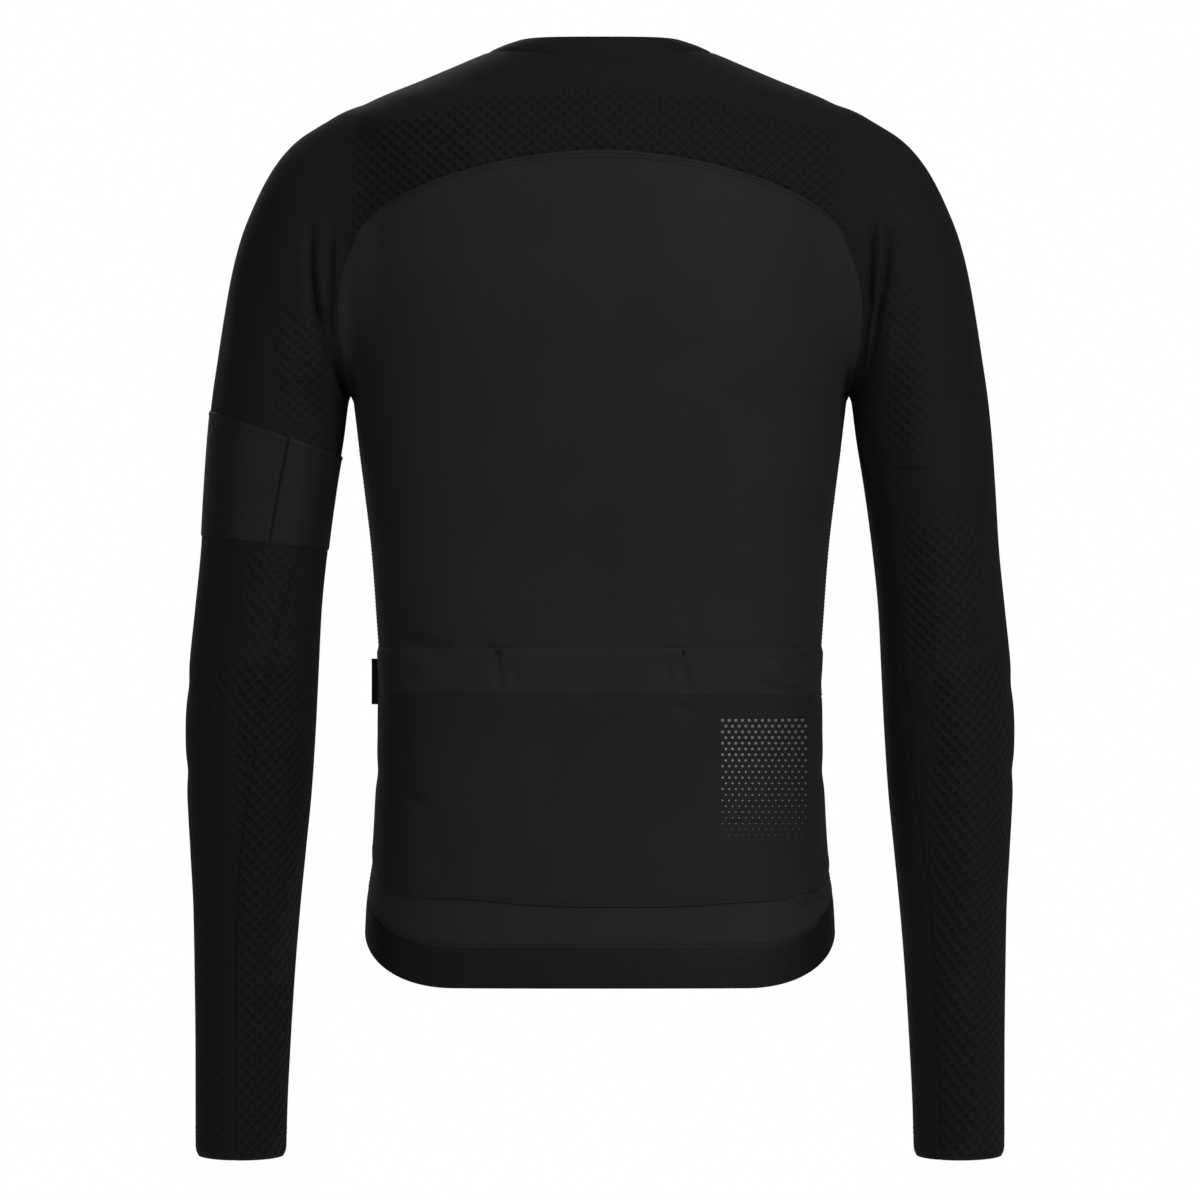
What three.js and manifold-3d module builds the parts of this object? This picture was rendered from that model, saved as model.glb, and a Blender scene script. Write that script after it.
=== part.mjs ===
// A close-fitting long-sleeved cycling jersey, filled out as it is when it is worn.
// Millimetres, +Z up, front towards -Y, wearer's left towards +X.
// The origin is on the centre line at the base of the neck.
import * as THREE from 'three';
import { mergeVertices } from 'three/addons/utils/BufferGeometryUtils.js';
import Module from 'manifold-3d';

const wasm = await Module();
wasm.setup();

// Driving sizes
const CLOTH = 1.4; // wall of every cut piece
const THIN = 1.0; // wall of what is laid on another piece
const BAND_THICK = 1.8; // the folded band at the pocket's mouth
const SEAM_GAP = 0.4; // between two pieces that are sewn edge to edge
const LAY_GAP = 0.35; // between a piece and what lies on it
const ROUNDNESS = 2.3; // power of the body's sections, 2 for an ellipse
const ARM_FIELD = 50; // turns the arm section's measure into about millimetres
const BODY_FIELD = 120; // the same for the body
const CROTCH_FILLET = 4; // rounding where arm and side part
const BACK_FILLET = 26; // rounding between arm and body on the back and the chest
const FILLET_GROWS = [12, 60]; // distance from the arm's middle over which it widens
const RAY_STEP = 3; // how finely a ray looks for the surface
const RAY_HALVINGS = 24; // and how often it then halves its last step
const SPINE_Y = 4; // depth of the arm's middle at the armpit
const SEAM_X = 174; // where the arc seam, the raglan seam and the side seam meet
const RAYS_TURN = [-300, -215]; // heights between which rays turn from outwards to straight back
const RAYS_TURNED = 0.97; // and how far they turn

const HEM_BACK = -650; // height of the hem at the centre back
const HEM_RISE = 80; // from the centre back to the centre front
const HEM_TURN = [35, 145]; // degrees from the back between which the hem rises
const GRIPPER = 27.5; // height of the hem's elastic band
const POCKET_LIFT = 29.6; // from the band's top to the pocket's bottom seam
const POCKET_TOP = -411;
const POCKET_BAND = 35; // height of the folded band at the pocket's mouth
const POCKET_STAND_OFF = 2.2; // how far the pocket's mouth stands off the back
const POCKET_SLACK = 130; // height over which it comes away from the back
const POCKET_HELD = [-150, -58, 70, 150]; // its two sides and two dividers, across from the centre
const HELD_REACH = 28; // how far from each of them it is still held in

const CUFF = -767; // height of the sleeve's end at its sides
const CUFF_TILT = 4; // how much lower the back of the cuff is
const ARM_BAND = [-338, -262]; // lower and upper edge of the left sleeve's band
const CAP_END = [70, SPINE_Y, -70]; // rays for the sleeve's cap start between the armpit and here

const NECK_SIDE = 79; // collar seam, half its width
const NECK_BACK = 64; // collar seam behind the origin
const NECK_FRONT = 77; // and in front of it
const COLLAR_SIDE = 64; // collar's top edge, half its width
const COLLAR_BACK = 55;
const COLLAR_FRONT = 68;
const COLLAR_TOP = 15.4;
const COLLAR_DIP = 50.4; // from the back of the collar's edge down to its front
const COLLAR_DIP_POWER = 2.4;
const RAGLAN_AT_NECK = 122; // degrees round the neck from the back

const NECK_FROM = -62; // height from which rays look up for the collar seam
const COLLAR_LEAN = 20; // how much the collar's outside also faces up

const ZIP_HALF = 6.5; // half the width of tape that shows
const CHAIN_HALF = 2.4;
const CHAIN_THICK = 1.3;
const SLIDER = { wide: 8, tall: 11, thick: 1.4, lug: 1.2, lugTall: 3.4, pin: 1.4, standOff: 3.45 };
const PULL = { wide: 5.4, long: 24, thick: 1.2, neck: 3, eye: 2.1, ring: 0.6, between: 3.2 };
const PULL_PLAY = 0.35; // between the pull's ring and each lug
const PULL_OVERLAP = 1; // how far its neck runs into its plate
const PIN_SIDES = 16;
const WELD = 1e-4; // corners this near are one corner

const LABEL = { low: -451, high: -419, out: 5.2, thick: 1.2 };

// Steps along the pieces
const ARC_LOW = 6; // along the arc seam from the armpit to where it turns over
const ARC_HIGH = 10; // and from there to the centre back
const FRONT_LOW = 9; // the same steps on the front raglan seam
const FRONT_HIGH = 7;
const NECK_STEPS = 16; // round the neck from the raglan seam to the centre back
const YOKE_STEPS = 8; // down the centre back of the yoke
const NECK_FRONT_STEPS = 4; // from the raglan seam to the zip
const AROUND = NECK_STEPS + YOKE_STEPS;
const PANEL_COLUMNS = 2 * ARC_HIGH;
const FRONT_COLUMNS = FRONT_HIGH + NECK_FRONT_STEPS;
const FRONT_TURN = 178.5; // about where the zip's edge is on the body, degrees from the back
const HALVES = [0, 0.5, 1]; // low strips have a middle row
const ZIP_STEPS = 22; // from the hem to the collar seam
const CHAIN_ROWS = ZIP_STEPS + 1; // the chain ends at the seam, below the slider

// Rows of the body above the gripper: heights, and which rows bound the pocket's parts
const BODY_ROWS = [-480, POCKET_TOP - POCKET_BAND, -430, POCKET_TOP, -375, -340, -305, -270];
const POCKET_LOW = 2; // row of the pocket's bottom seam
const POCKET_FOLD = 5; // row of the folded band's lower edge
const POCKET_HIGH = 7; // row of the pocket's mouth

// Rings of the sleeve below the arm band, as shares of the way from cuff to armpit
const ARM_ROWS = [0, 0.06, 0.12, 0.18, 0.24, 0.3, 0.36, 0.42, 0.48, 0.54, 0.6, 0.66, 0.73];
const BAND_ROWS = 3;

// Body sections: height, half width, depth behind and in front of the centre line
const BODY = columns(['z', 'side', 'back', 'front'], [
  [30, 52, 45, 22], [15, 64, 54, 34], [8, 73, 58, 41], [0, 91, 63, 48],
  [-14, 124, 72, 58], [-28, 157, 81, 67], [-42, 176, 88, 74.5], [-56, 182, 94.5, 81],
  [-70, 183, 100, 88], [-98, 183, 109, 98], [-126, 182, 114, 106], [-154, 180.5, 116.5, 112],
  [-182, 178.5, 116.5, 116], [-210, 176, 114.5, 118], [-237, 172.8, 111.5, 118],
  [-266, 169.4, 108, 116], [-301, 164.9, 103.5, 112.5], [-343, 160, 97.5, 108],
  [-385, 156.8, 92.5, 104], [-427, 154.5, 89.5, 101.5], [-469, 154.6, 90, 100.5],
  [-511, 156, 94, 101], [-553, 158.3, 100.5, 102.5], [-595, 163.8, 107, 105],
  [-637, 165.4, 111, 107.5], [-665, 166, 112, 108],
]);

// Arm sections: height, outer and inner edge, half depth, centre of the depth
const ARM_TOP = -20;
const ARM = columns(['z', 'outer', 'inner', 'depth', 'middle'], [
  [-20, 125, 112, 3, 1], [-28, 150, 95, 12, 1], [-42, 187, 80, 25, 2], [-56, 210.9, 88, 35, 2],
  [-70, 224.2, 103, 42.5, 3], [-84, 233.3, 116, 47.5, 3], [-98, 240.3, 127, 50.5, 4],
  [-126, 251.5, 141, 54, 4], [-154, 258.5, 151, 56, 5], [-182, 263.4, 160, 57, 5],
  [-210, 267.6, 168, 56.5, 6], [-237, 271.5, 175.3, 55.5, 6], [-266, 274.4, 179.2, 54, 7],
  [-301, 276.8, 184.8, 52.5, 8], [-343, 279.3, 190.4, 50.5, 8], [-385, 283.5, 194.6, 49, 8],
  [-427, 287.7, 196.7, 48.5, 7], [-469, 290.1, 198.8, 48, 4], [-511, 289.1, 201.6, 47, -1],
  [-553, 287, 205.8, 44.5, -8], [-595, 284.9, 210, 41.5, -15], [-637, 284.2, 213.5, 38.5, -22],
  [-692, 283.7, 217, 35, -30], [-734, 283.7, 219.1, 32.5, -36], [-775, 283.7, 220.2, 31, -42],
]);

// Where the underarm seam runs round each sleeve: height, degrees from the back towards the body
const SEAM = {
  left: columns(['z', 'turn'], [[-775, -9], [-600, -12], [-500, 0], [-385, 25], [-301, 55], [-237, 90]]),
  right: columns(['z', 'turn'], [[-775, 27], [-600, 28], [-500, 38], [-385, 47], [-301, 65], [-237, 90]]),
};

// The seams of the upper body as curves in the front view, from the armpit up
const ARC_TURN = [163, -113];
const ARC_LOWER = bezier([[SEAM_X, -237], [180, -200], [196, -150], ARC_TURN]);
const ARC_UPPER = bezier([ARC_TURN, [139, -86], [60, -64.4], [0, -64.4]]);

// Cloth colours
const CHARCOAL = cloth(0x232325, 0.8);
const BLACK = cloth(0x171819, 0.85);
const BAND = cloth(0x1c1d1e, 0.6);
const ELASTIC = cloth(0x131415, 0.7);
const METAL = new THREE.MeshStandardMaterial({ color: 0x2a2a2c, roughness: 0.4, metalness: 0.8 });

function cloth(color, roughness) {
  return new THREE.MeshStandardMaterial({ color, roughness, metalness: 0 });
}

// One smooth function for each named column of a table, with no overshoot between rows.
function columns(names, table) {
  const rows = [...table].sort((a, b) => a[0] - b[0]);
  const z = rows.map((row) => row[0]);
  const out = {};
  names.slice(1).forEach((name, k) => {
    out[name] = monotone(z, rows.map((row) => row[k + 1]));
  });
  return out;
}

// A cubic through the points that rises only where they do.
function monotone(x, y) {
  const n = x.length;
  const step = x.slice(1).map((v, i) => v - x[i]);
  const slope = step.map((h, i) => (y[i + 1] - y[i]) / h);
  const tangent = y.map((_, i) => {
    if (i === 0) return slope[0];
    if (i === n - 1) return slope[n - 2];
    if (slope[i - 1] * slope[i] <= 0) return 0;
    const w0 = 2 * step[i] + step[i - 1];
    const w1 = step[i] + 2 * step[i - 1];
    return (w0 + w1) / (w0 / slope[i - 1] + w1 / slope[i]);
  });
  return (value) => {
    if (value <= x[0]) return y[0];
    if (value >= x[n - 1]) return y[n - 1];
    let i = 0;
    while (value > x[i + 1]) i += 1;
    const t = (value - x[i]) / step[i];
    const u = 1 - t;
    return y[i] * (1 + 2 * t) * u * u + y[i + 1] * t * t * (3 - 2 * t)
      + step[i] * t * u * (u * tangent[i] - t * tangent[i + 1]);
  };
}

function bezier([a, b, c, d]) {
  return (t) => {
    const u = 1 - t;
    return a.map((_, k) => u ** 3 * a[k] + 3 * u * u * t * b[k] + 3 * u * t * t * c[k] + t ** 3 * d[k]);
  };
}

function smooth(low, high, value) {
  return THREE.MathUtils.smoothstep(value, low, high);
}

const mix = THREE.MathUtils.lerp;

// How far a point is outside the body's section, negative inside.
function bodyField(x, y, z) {
  const depth = y > 0 ? BODY.back(z) : BODY.front(z);
  const ratio = (Math.abs(x / BODY.side(z)) ** ROUNDNESS + Math.abs(y / depth) ** ROUNDNESS)
    ** (1 / ROUNDNESS);
  return (ratio - 1) * BODY_FIELD;
}

// The same for the arm, which runs into the shoulder above the armpit.
function armField(x, y, z) {
  const outer = ARM.outer(z);
  const inner = ARM.inner(z);
  const across = (Math.abs(x) - (outer + inner) / 2) / ((outer - inner) / 2);
  const deep = (y - ARM.middle(z)) / ARM.depth(z);
  return Math.max((Math.hypot(across, deep) - 1) * ARM_FIELD, z - ARM_TOP);
}

// Body and arms joined, with a fillet that is small at the crotch and wide on back and chest.
function field([x, y, z]) {
  const body = bodyField(x, y, z);
  const arm = armField(x, y, z);
  const fillet = mix(CROTCH_FILLET, BACK_FILLET, smooth(...FILLET_GROWS, Math.abs(y - SPINE_Y)));
  const near = Math.max(fillet - Math.abs(body - arm), 0) / fillet;
  return Math.min(body, arm) - near * near * fillet / 4;
}

// The way out of the cloth at a point.
function normalAt(p, h = 0.5) {
  const n = [0, 1, 2].map((k) => {
    const a = [...p];
    const b = [...p];
    a[k] += h;
    b[k] -= h;
    return field(a) - field(b);
  });
  const length = Math.hypot(...n);
  return n.map((v) => v / length);
}

// Where a ray from inside first meets the surface.
function meet(from, along) {
  const length = Math.hypot(...along);
  const at = (t) => from.map((v, k) => v + along[k] / length * t);
  let high = RAY_STEP;
  while (field(at(high)) < 0) high += RAY_STEP;
  let low = high - RAY_STEP;
  for (let i = 0; i < RAY_HALVINGS; i += 1) {
    const middle = (low + high) / 2;
    if (field(at(middle)) < 0) low = middle;
    else high = middle;
  }
  return at(high);
}

// The armpit is where the cloth between arm and side is highest.
const APEX = meet([SEAM_X, SPINE_Y, ARC_TURN[1]], [0, 0, -1]);

// A point of the surface seen at (x, z) from the back (+1) or the front (-1).
function seenAt(x, z, side) {
  return meet([x, SPINE_Y, z], [0, side, 0]);
}

function spread(count, make) {
  return Array.from({ length: count + 1 }, (_, i) => make(i / count));
}

// Back arc seam of the wearer's left, armpit to centre back.
const backArc = [
  APEX,
  ...spread(ARC_LOW, (t) => ARC_LOWER(t)).slice(1).map(([x, z]) => seenAt(x, z, 1)),
  ...spread(ARC_HIGH, (t) => ARC_UPPER(t)).slice(1).map(([x, z]) => seenAt(x, z, 1)),
];

// Collar seam at degrees round the neck from the back.
function neckSeam(turn) {
  const a = THREE.MathUtils.degToRad(turn);
  const depth = Math.cos(a) > 0 ? NECK_BACK : NECK_FRONT;
  const x = NECK_SIDE * Math.sin(a);
  const y = depth * Math.cos(a);
  return meet([x, y, NECK_FROM], [0, 0, 1]);
}

// The collar's top edge at the same degrees.
function collarEdge(turn) {
  const a = THREE.MathUtils.degToRad(turn);
  const depth = Math.cos(a) > 0 ? COLLAR_BACK : COLLAR_FRONT;
  const z = COLLAR_TOP - COLLAR_DIP * ((1 - Math.cos(a)) / 2) ** COLLAR_DIP_POWER;
  return [COLLAR_SIDE * Math.sin(a), depth * Math.cos(a), z];
}

// Front raglan seam, armpit to neck.
const raglanTop = neckSeam(RAGLAN_AT_NECK);
const frontCurve = bezier([[SEAM_X, -237], [176, -170], [118, -92], [raglanTop[0], raglanTop[2]]]);
const frontSeam = [
  APEX,
  ...spread(FRONT_LOW + FRONT_HIGH, frontCurve).slice(1, -1).map(([x, z]) => seenAt(x, z, -1)),
  raglanTop,
];

// Fills between four edges: bottom and top run along, left and right run up.
function fill(bottom, top, left, right, project) {
  const rows = left.length - 1;
  const cols = bottom.length - 1;
  return left.map((_, i) => bottom.map((__, j) => {
    if (i === 0) return bottom[j];
    if (i === rows) return top[j];
    if (j === 0) return left[i];
    if (j === cols) return right[i];
    const v = i / rows;
    const u = j / cols;
    const guess = [0, 1, 2].map((k) => mix(bottom[j][k], top[j][k], v)
      + mix(left[i][k], right[i][k], u)
      - mix(mix(bottom[0][k], bottom[cols][k], u), mix(top[0][k], top[cols][k], u), v));
    return project(guess, v);
  }));
}

// Moves a guess out to the surface, straight back or forward above the armpit, and out from
// the body's axis below it.
function fromAxis([x, y, z]) {
  const share = RAYS_TURNED * smooth(...RAYS_TURN, z);
  return meet([x * share, 0, z], [x * (1 - share), y, 0]);
}

// Each edge of a grid drawn in by half a seam's gap.
function drawIn(grid, edges = 'lrbt') {
  const rows = grid.length - 1;
  const cols = grid[0].length - 1;
  const pull = (p, q) => {
    const d = Math.hypot(...p.map((v, k) => q[k] - v));
    return p.map((v, k) => v + (q[k] - v) / d * SEAM_GAP / 2);
  };
  const drawn = grid.map((row) => row.map((p) => [...p]));
  for (let i = 0; i <= rows; i += 1) {
    if (edges.includes('l')) drawn[i][0] = pull(drawn[i][0], grid[i][1]);
    if (edges.includes('r')) drawn[i][cols] = pull(drawn[i][cols], grid[i][cols - 1]);
  }
  for (let j = 0; j <= cols; j += 1) {
    if (edges.includes('b')) drawn[0][j] = pull(drawn[0][j], grid[1][j]);
    if (edges.includes('t')) drawn[rows][j] = pull(drawn[rows][j], grid[rows - 1][j]);
  }
  return drawn;
}

function moveOut(grid, normals, distance) {
  return grid.map((row, i) => row.map((p, j) => {
    const d = typeof distance === 'function' ? distance(p) : distance;
    return p.map((v, k) => v + normals[i][j][k] * d);
  }));
}

function mirror(grid) {
  return grid.map((row) => row.map(([x, y, z]) => [-x, y, z]));
}

const jersey = new THREE.Group();

function addMesh(name, geometry, material) {
  const mesh = new THREE.Mesh(geometry, material);
  mesh.name = name;
  jersey.add(mesh);
  return mesh;
}

// A closed wall between an outer and an inner grid.
function wall(name, outer, inner, material) {
  const rows = outer.length;
  const cols = outer[0].length;
  const points = [...outer.flat(), ...inner.flat()].flat();
  const at = (i, j, layer) => layer * rows * cols + i * cols + j;
  const faces = [];
  const quad = (a, b, c, d) => faces.push(a, b, c, a, c, d);
  for (let i = 0; i < rows - 1; i += 1) {
    for (let j = 0; j < cols - 1; j += 1) {
      quad(at(i, j, 0), at(i, j + 1, 0), at(i + 1, j + 1, 0), at(i + 1, j, 0));
      quad(at(i, j, 1), at(i + 1, j, 1), at(i + 1, j + 1, 1), at(i, j + 1, 1));
    }
  }
  for (let j = 0; j < cols - 1; j += 1) {
    quad(at(0, j, 0), at(0, j, 1), at(0, j + 1, 1), at(0, j + 1, 0));
    quad(at(rows - 1, j, 0), at(rows - 1, j + 1, 0), at(rows - 1, j + 1, 1), at(rows - 1, j, 1));
  }
  for (let i = 0; i < rows - 1; i += 1) {
    quad(at(i, 0, 0), at(i + 1, 0, 0), at(i + 1, 0, 1), at(i, 0, 1));
    quad(at(i, cols - 1, 0), at(i, cols - 1, 1), at(i + 1, cols - 1, 1), at(i + 1, cols - 1, 0));
  }
  if (volume(points, faces) < 0) faces.reverse();
  const geometry = new THREE.BufferGeometry();
  geometry.setAttribute('position', new THREE.Float32BufferAttribute(points, 3));
  geometry.setIndex(faces);
  return addMesh(name, geometry, material);
}

function volume(points, faces) {
  let sum = 0;
  const p = (i) => new THREE.Vector3().fromArray(points, 3 * i);
  for (let i = 0; i < faces.length; i += 3) {
    sum += p(faces[i]).dot(p(faces[i + 1]).cross(p(faces[i + 2])));
  }
  return sum;
}

// A piece of cloth: its outer face is the grid, and the wall goes in from it.
function piece(name, grid, normals, material, thick = CLOTH) {
  return wall(name, grid, moveOut(grid, normals, -thick), material);
}

function normalsOf(grid) {
  return grid.map((row) => row.map((p) => normalAt(p)));
}

// Hem height at an eccentric angle from the back, in degrees.
function hem(turn) {
  return HEM_BACK + HEM_RISE * smooth(...HEM_TURN, Math.abs(turn));
}

// A point of the body's section at a height and an eccentric angle from the back.
function bodyPoint(turn, z) {
  const a = THREE.MathUtils.degToRad(turn);
  const flatten = (v) => Math.sign(v) * Math.abs(v) ** (2 / ROUNDNESS);
  const depth = Math.cos(a) > 0 ? BODY.back(z) : BODY.front(z);
  return [BODY.side(z) * flatten(Math.sin(a)), depth * flatten(Math.cos(a)), z];
}

const lift = {
  hem,
  gripper: (turn) => hem(turn) + GRIPPER,
  pocket: (turn) => hem(turn) + GRIPPER + POCKET_LIFT,
};
// Turn of the zip's edge from the back, where the body is a given half width.
function zipTurn(side) {
  return 180 - THREE.MathUtils.radToDeg(Math.asin(ZIP_HALF / side));
}

// Rows of the body from the gripper's top up to just under the armpit, at one angle.
function sideColumn(turn) {
  const low = lift.gripper(turn);
  const pocket = lift.pocket(turn);
  const heights = [low, (low + pocket) / 2, pocket, mix(pocket, BODY_ROWS[0], 0.5), ...BODY_ROWS];
  return heights.map((z) => bodyPoint(turn, z));
}

// Grid of the whole back panel, hem seam to arc seam, wearer's right to left.
function backPanel() {
  const turns = spread(PANEL_COLUMNS, (t) => mix(-90, 90, t));
  const lowColumns = turns.map(sideColumn);
  const low = lowColumns[0].map((_, i) => lowColumns.map((column) => column[i]));
  const left = [low.at(-1).at(-1), ...backArc.slice(0, ARC_LOW + 1)];
  const right = left.map(([x, y, z]) => [-x, y, z]);
  const half = backArc.slice(ARC_LOW);
  const top = [...half.map(([x, y, z]) => [-x, y, z]), ...half.slice(0, -1).reverse()];
  const upper = fill(low.at(-1), top, right, left, fromAxis);
  return [...low, ...upper.slice(1)];
}

// Grid of one front, zip to side.
function frontPanel() {
  const lowColumns = spread(FRONT_COLUMNS, (t) => sideColumn(mix(FRONT_TURN, 90, t)));
  const low = lowColumns[0].map((_, i) => lowColumns.map((column) => column[i]));
  for (const row of low) row[0] = seenAt(ZIP_HALF, row[0][2], -1);
  const side = [low.at(-1).at(-1), ...frontSeam.slice(0, FRONT_LOW + 1)];
  const neck = neckFront();
  const zip = spread(FRONT_LOW + 1, (t) => seenAt(ZIP_HALF, mix(low.at(-1)[0][2], neck[0][2], t), -1));
  zip[zip.length - 1] = neck[0];
  const top = [...neck, ...frontSeam.slice(FRONT_LOW, -1).reverse()];
  const upper = fill(low.at(-1), top, zip, side, fromAxis);
  return [...low, ...upper.slice(1)];
}

// Neck seam from the zip to the raglan seam.
function neckFront() {
  return spread(NECK_FRONT_STEPS, (t) => neckSeam(mix(zipTurn(NECK_SIDE), RAGLAN_AT_NECK, t)));
}

// Neck seam from the raglan seam to the centre back.
function neckBack() {
  return spread(NECK_STEPS, (t) => neckSeam(mix(RAGLAN_AT_NECK, 0, t)));
}

// Heights of the sleeve's rings from the cuff up, as shares of the way to the armpit.
function sleeveLevels() {
  const reach = APEX[2] - CUFF;
  const share = (z) => (z - CUFF) / reach;
  const [low, high] = ARM_BAND;
  const band = spread(BAND_ROWS, (t) => mix(share(low), share(high), t));
  return [...ARM_ROWS, ...band, mix(share(high), 1, 0.5)];
}

// A point of the sleeve below the armpit.
function armPoint(turn, z) {
  const a = THREE.MathUtils.degToRad(turn);
  const outer = ARM.outer(z);
  const inner = ARM.inner(z);
  return [
    (outer + inner) / 2 - (outer - inner) / 2 * Math.sin(a),
    ARM.middle(z) + ARM.depth(z) * Math.cos(a),
    z,
  ];
}

// Grid of one sleeve with its half of the yoke, cuff to neck, front edge to back edge.
function sleeve(seam) {
  const rings = sleeveLevels().map((share) => spread(AROUND, (t) => {
    const level = mix(CUFF, APEX[2], share);
    const turn = seam.turn(level) + 360 * t;
    const cuff = CUFF - CUFF_TILT * Math.cos(THREE.MathUtils.degToRad(turn));
    return armPoint(turn, mix(cuff, APEX[2], share));
  }));
  const start = [(ARM.outer(APEX[2]) + ARM.inner(APEX[2])) / 2, ARM.middle(APEX[2]), APEX[2]];
  const armpit = spread(AROUND, (t) => {
    const a = THREE.MathUtils.degToRad(90 + 360 * t);
    return t === 0 || t === 1 ? APEX : meet(start, [-Math.sin(a), Math.cos(a), 0]);
  });
  const yoke = spread(YOKE_STEPS, (t) => seenAt(0, mix(neckSeam(0)[2], backArc.at(-1)[2], t), 1));
  const top = [...neckBack(), ...yoke.slice(1)];
  top[top.length - 1] = backArc.at(-1);
  const cap = fill(armpit, top, frontSeam, backArc, (guess, v) => {
    const centre = start.map((value, k) => mix(value, CAP_END[k], v));
    return meet(centre, guess.map((value, k) => value - centre[k]));
  });
  return [...rings, ...cap];
}

// Grid of the collar from one side of the zip round the back to the other.
function collarGrid() {
  const half = [...neckFront(), ...neckBack().slice(1)];
  const turns = [
    ...spread(NECK_FRONT_STEPS, (t) => mix(zipTurn(COLLAR_SIDE), RAGLAN_AT_NECK, t)),
    ...spread(NECK_STEPS, (t) => mix(RAGLAN_AT_NECK, 0, t)).slice(1),
  ];
  const edge = turns.map(collarEdge);
  const both = (list) => [...list, ...list.slice(0, -1).reverse().map(([x, y, z]) => [-x, y, z])];
  const low = both(half);
  const high = both(edge);
  return HALVES.map((v) => low.map((p, j) => p.map((value, k) => mix(value, high[j][k], v))));
}

// Normals of the collar: the seam's own blend into the strip's.
function collarNormals(grid) {
  const cols = grid[0].length;
  return grid.map((row, i) => row.map((p, j) => {
    if (i === 0) return normalAt(p);
    const a = row[Math.max(j - 1, 0)];
    const b = row[Math.min(j + 1, cols - 1)];
    const along = new THREE.Vector3(...b).sub(new THREE.Vector3(...a));
    const up = new THREE.Vector3(...grid[2][j]).sub(new THREE.Vector3(...grid[0][j]));
    const n = along.cross(up).normalize();
    const out = new THREE.Vector3(p[0], p[1], COLLAR_LEAN);
    if (n.dot(out) < 0) n.negate();
    return n.toArray();
  }));
}

// Rows of an elastic hem strip between two angles.
function gripperGrid(from, to, steps) {
  return HALVES.map((v) => spread(steps, (t) => {
    const turn = mix(from, to, t);
    return bodyPoint(turn, mix(lift.hem(turn), lift.gripper(turn), v));
  }));
}

// How far the pocket's mouth stands off: nothing at the dividers and the sides.
function standOff([x, , z]) {
  const rise = smooth(POCKET_TOP - POCKET_SLACK, POCKET_TOP, z);
  const near = Math.min(...POCKET_HELD.map((held) => Math.abs(x - held)));
  return POCKET_STAND_OFF * rise * smooth(0, HELD_REACH, near);
}

function build() {
  const back = drawIn(backPanel());
  const backNormals = normalsOf(back);
  piece('back_panel', back, backNormals, CHARCOAL);

  const pocketRows = (from, to) => [back.slice(from, to + 1), backNormals.slice(from, to + 1)];
  const lay = (name, [grid, normals], material, thick) => wall(
    name,
    moveOut(grid, normals, (p) => LAY_GAP + thick + standOff(p)),
    moveOut(grid, normals, (p) => LAY_GAP + standOff(p)),
    material,
  );
  const [panelGrid, panelNormals] = pocketRows(POCKET_LOW, POCKET_FOLD);
  lay('pocket_panel', [drawIn(panelGrid, 't'), panelNormals], CHARCOAL, THIN);
  lay('pocket_band', pocketRows(POCKET_FOLD, POCKET_HIGH), CHARCOAL, BAND_THICK);

  const front = drawIn(frontPanel());
  piece('front_left', front, normalsOf(front), CHARCOAL);
  piece('front_right', mirror(front), normalsOf(mirror(front)), CHARCOAL);

  for (const [side, flip] of [['left', (g) => g], ['right', mirror]]) {
    const grid = flip(drawIn(sleeve(SEAM[side])));
    const normals = normalsOf(grid);
    piece(`sleeve_${side}`, grid, normals, BLACK);
    if (side === 'left') {
      const rows = [ARM_ROWS.length, ARM_ROWS.length + BAND_ROWS + 1];
      const over = grid.slice(...rows);
      const out = normals.slice(...rows);
      wall('arm_band', moveOut(over, out, LAY_GAP + THIN), moveOut(over, out, LAY_GAP), BAND);
    }
  }

  const collar = drawIn(collarGrid(), 'lrb');
  wall('collar', collar, moveOut(collar, collarNormals(collar), -CLOTH), BLACK);

  const gripperBack = drawIn(gripperGrid(-90, 90, PANEL_COLUMNS), 'lrt');
  piece('gripper_back', gripperBack, normalsOf(gripperBack), ELASTIC);
  const gripperFront = gripperGrid(FRONT_TURN, 90, FRONT_COLUMNS);
  for (const row of gripperFront) row[0] = seenAt(ZIP_HALF, row[0][2], -1);
  const strip = drawIn(gripperFront, 'lrt');
  piece('gripper_front_left', strip, normalsOf(strip), ELASTIC);
  piece('gripper_front_right', mirror(strip), normalsOf(mirror(strip)), ELASTIC);

  zip();
  label();
}

// The zip's tape and chain up the centre front, and the slider with its pull tab.
function zip() {
  const seamTop = neckSeam(180);
  const edge = collarEdge(180);
  const heights = [
    ...spread(ZIP_STEPS, (t) => mix(hem(180), seamTop[2], t)).map((z) => seenAt(0, z, -1)),
    [0, (seamTop[1] + edge[1]) / 2, (seamTop[2] + edge[2]) / 2],
    edge,
  ];
  const strip = (half) => heights.map(([, y, z]) => [-half, 0, half].map((x) => [x, y, z]));
  const tape = strip(ZIP_HALF - SEAM_GAP / 2);
  const normals = tape.map((row, i) => row.map(() => slopeNormal(heights, i)));
  piece('zip_tape', tape, normals, BLACK);
  const chain = strip(CHAIN_HALF).slice(0, CHAIN_ROWS);
  const out = normals.slice(0, CHAIN_ROWS);
  wall('zip_chain', moveOut(chain, out, LAY_GAP + CHAIN_THICK), moveOut(chain, out, LAY_GAP), BLACK);
  slider(heights, normals);
}

// Normal of the centre line in the middle plane.
function slopeNormal(points, i) {
  const a = points[Math.max(i - 1, 0)];
  const b = points[Math.min(i + 1, points.length - 1)];
  const n = [0, -(b[2] - a[2]), b[1] - a[1]];
  const length = Math.hypot(...n);
  return n.map((v) => v / length);
}

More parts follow.
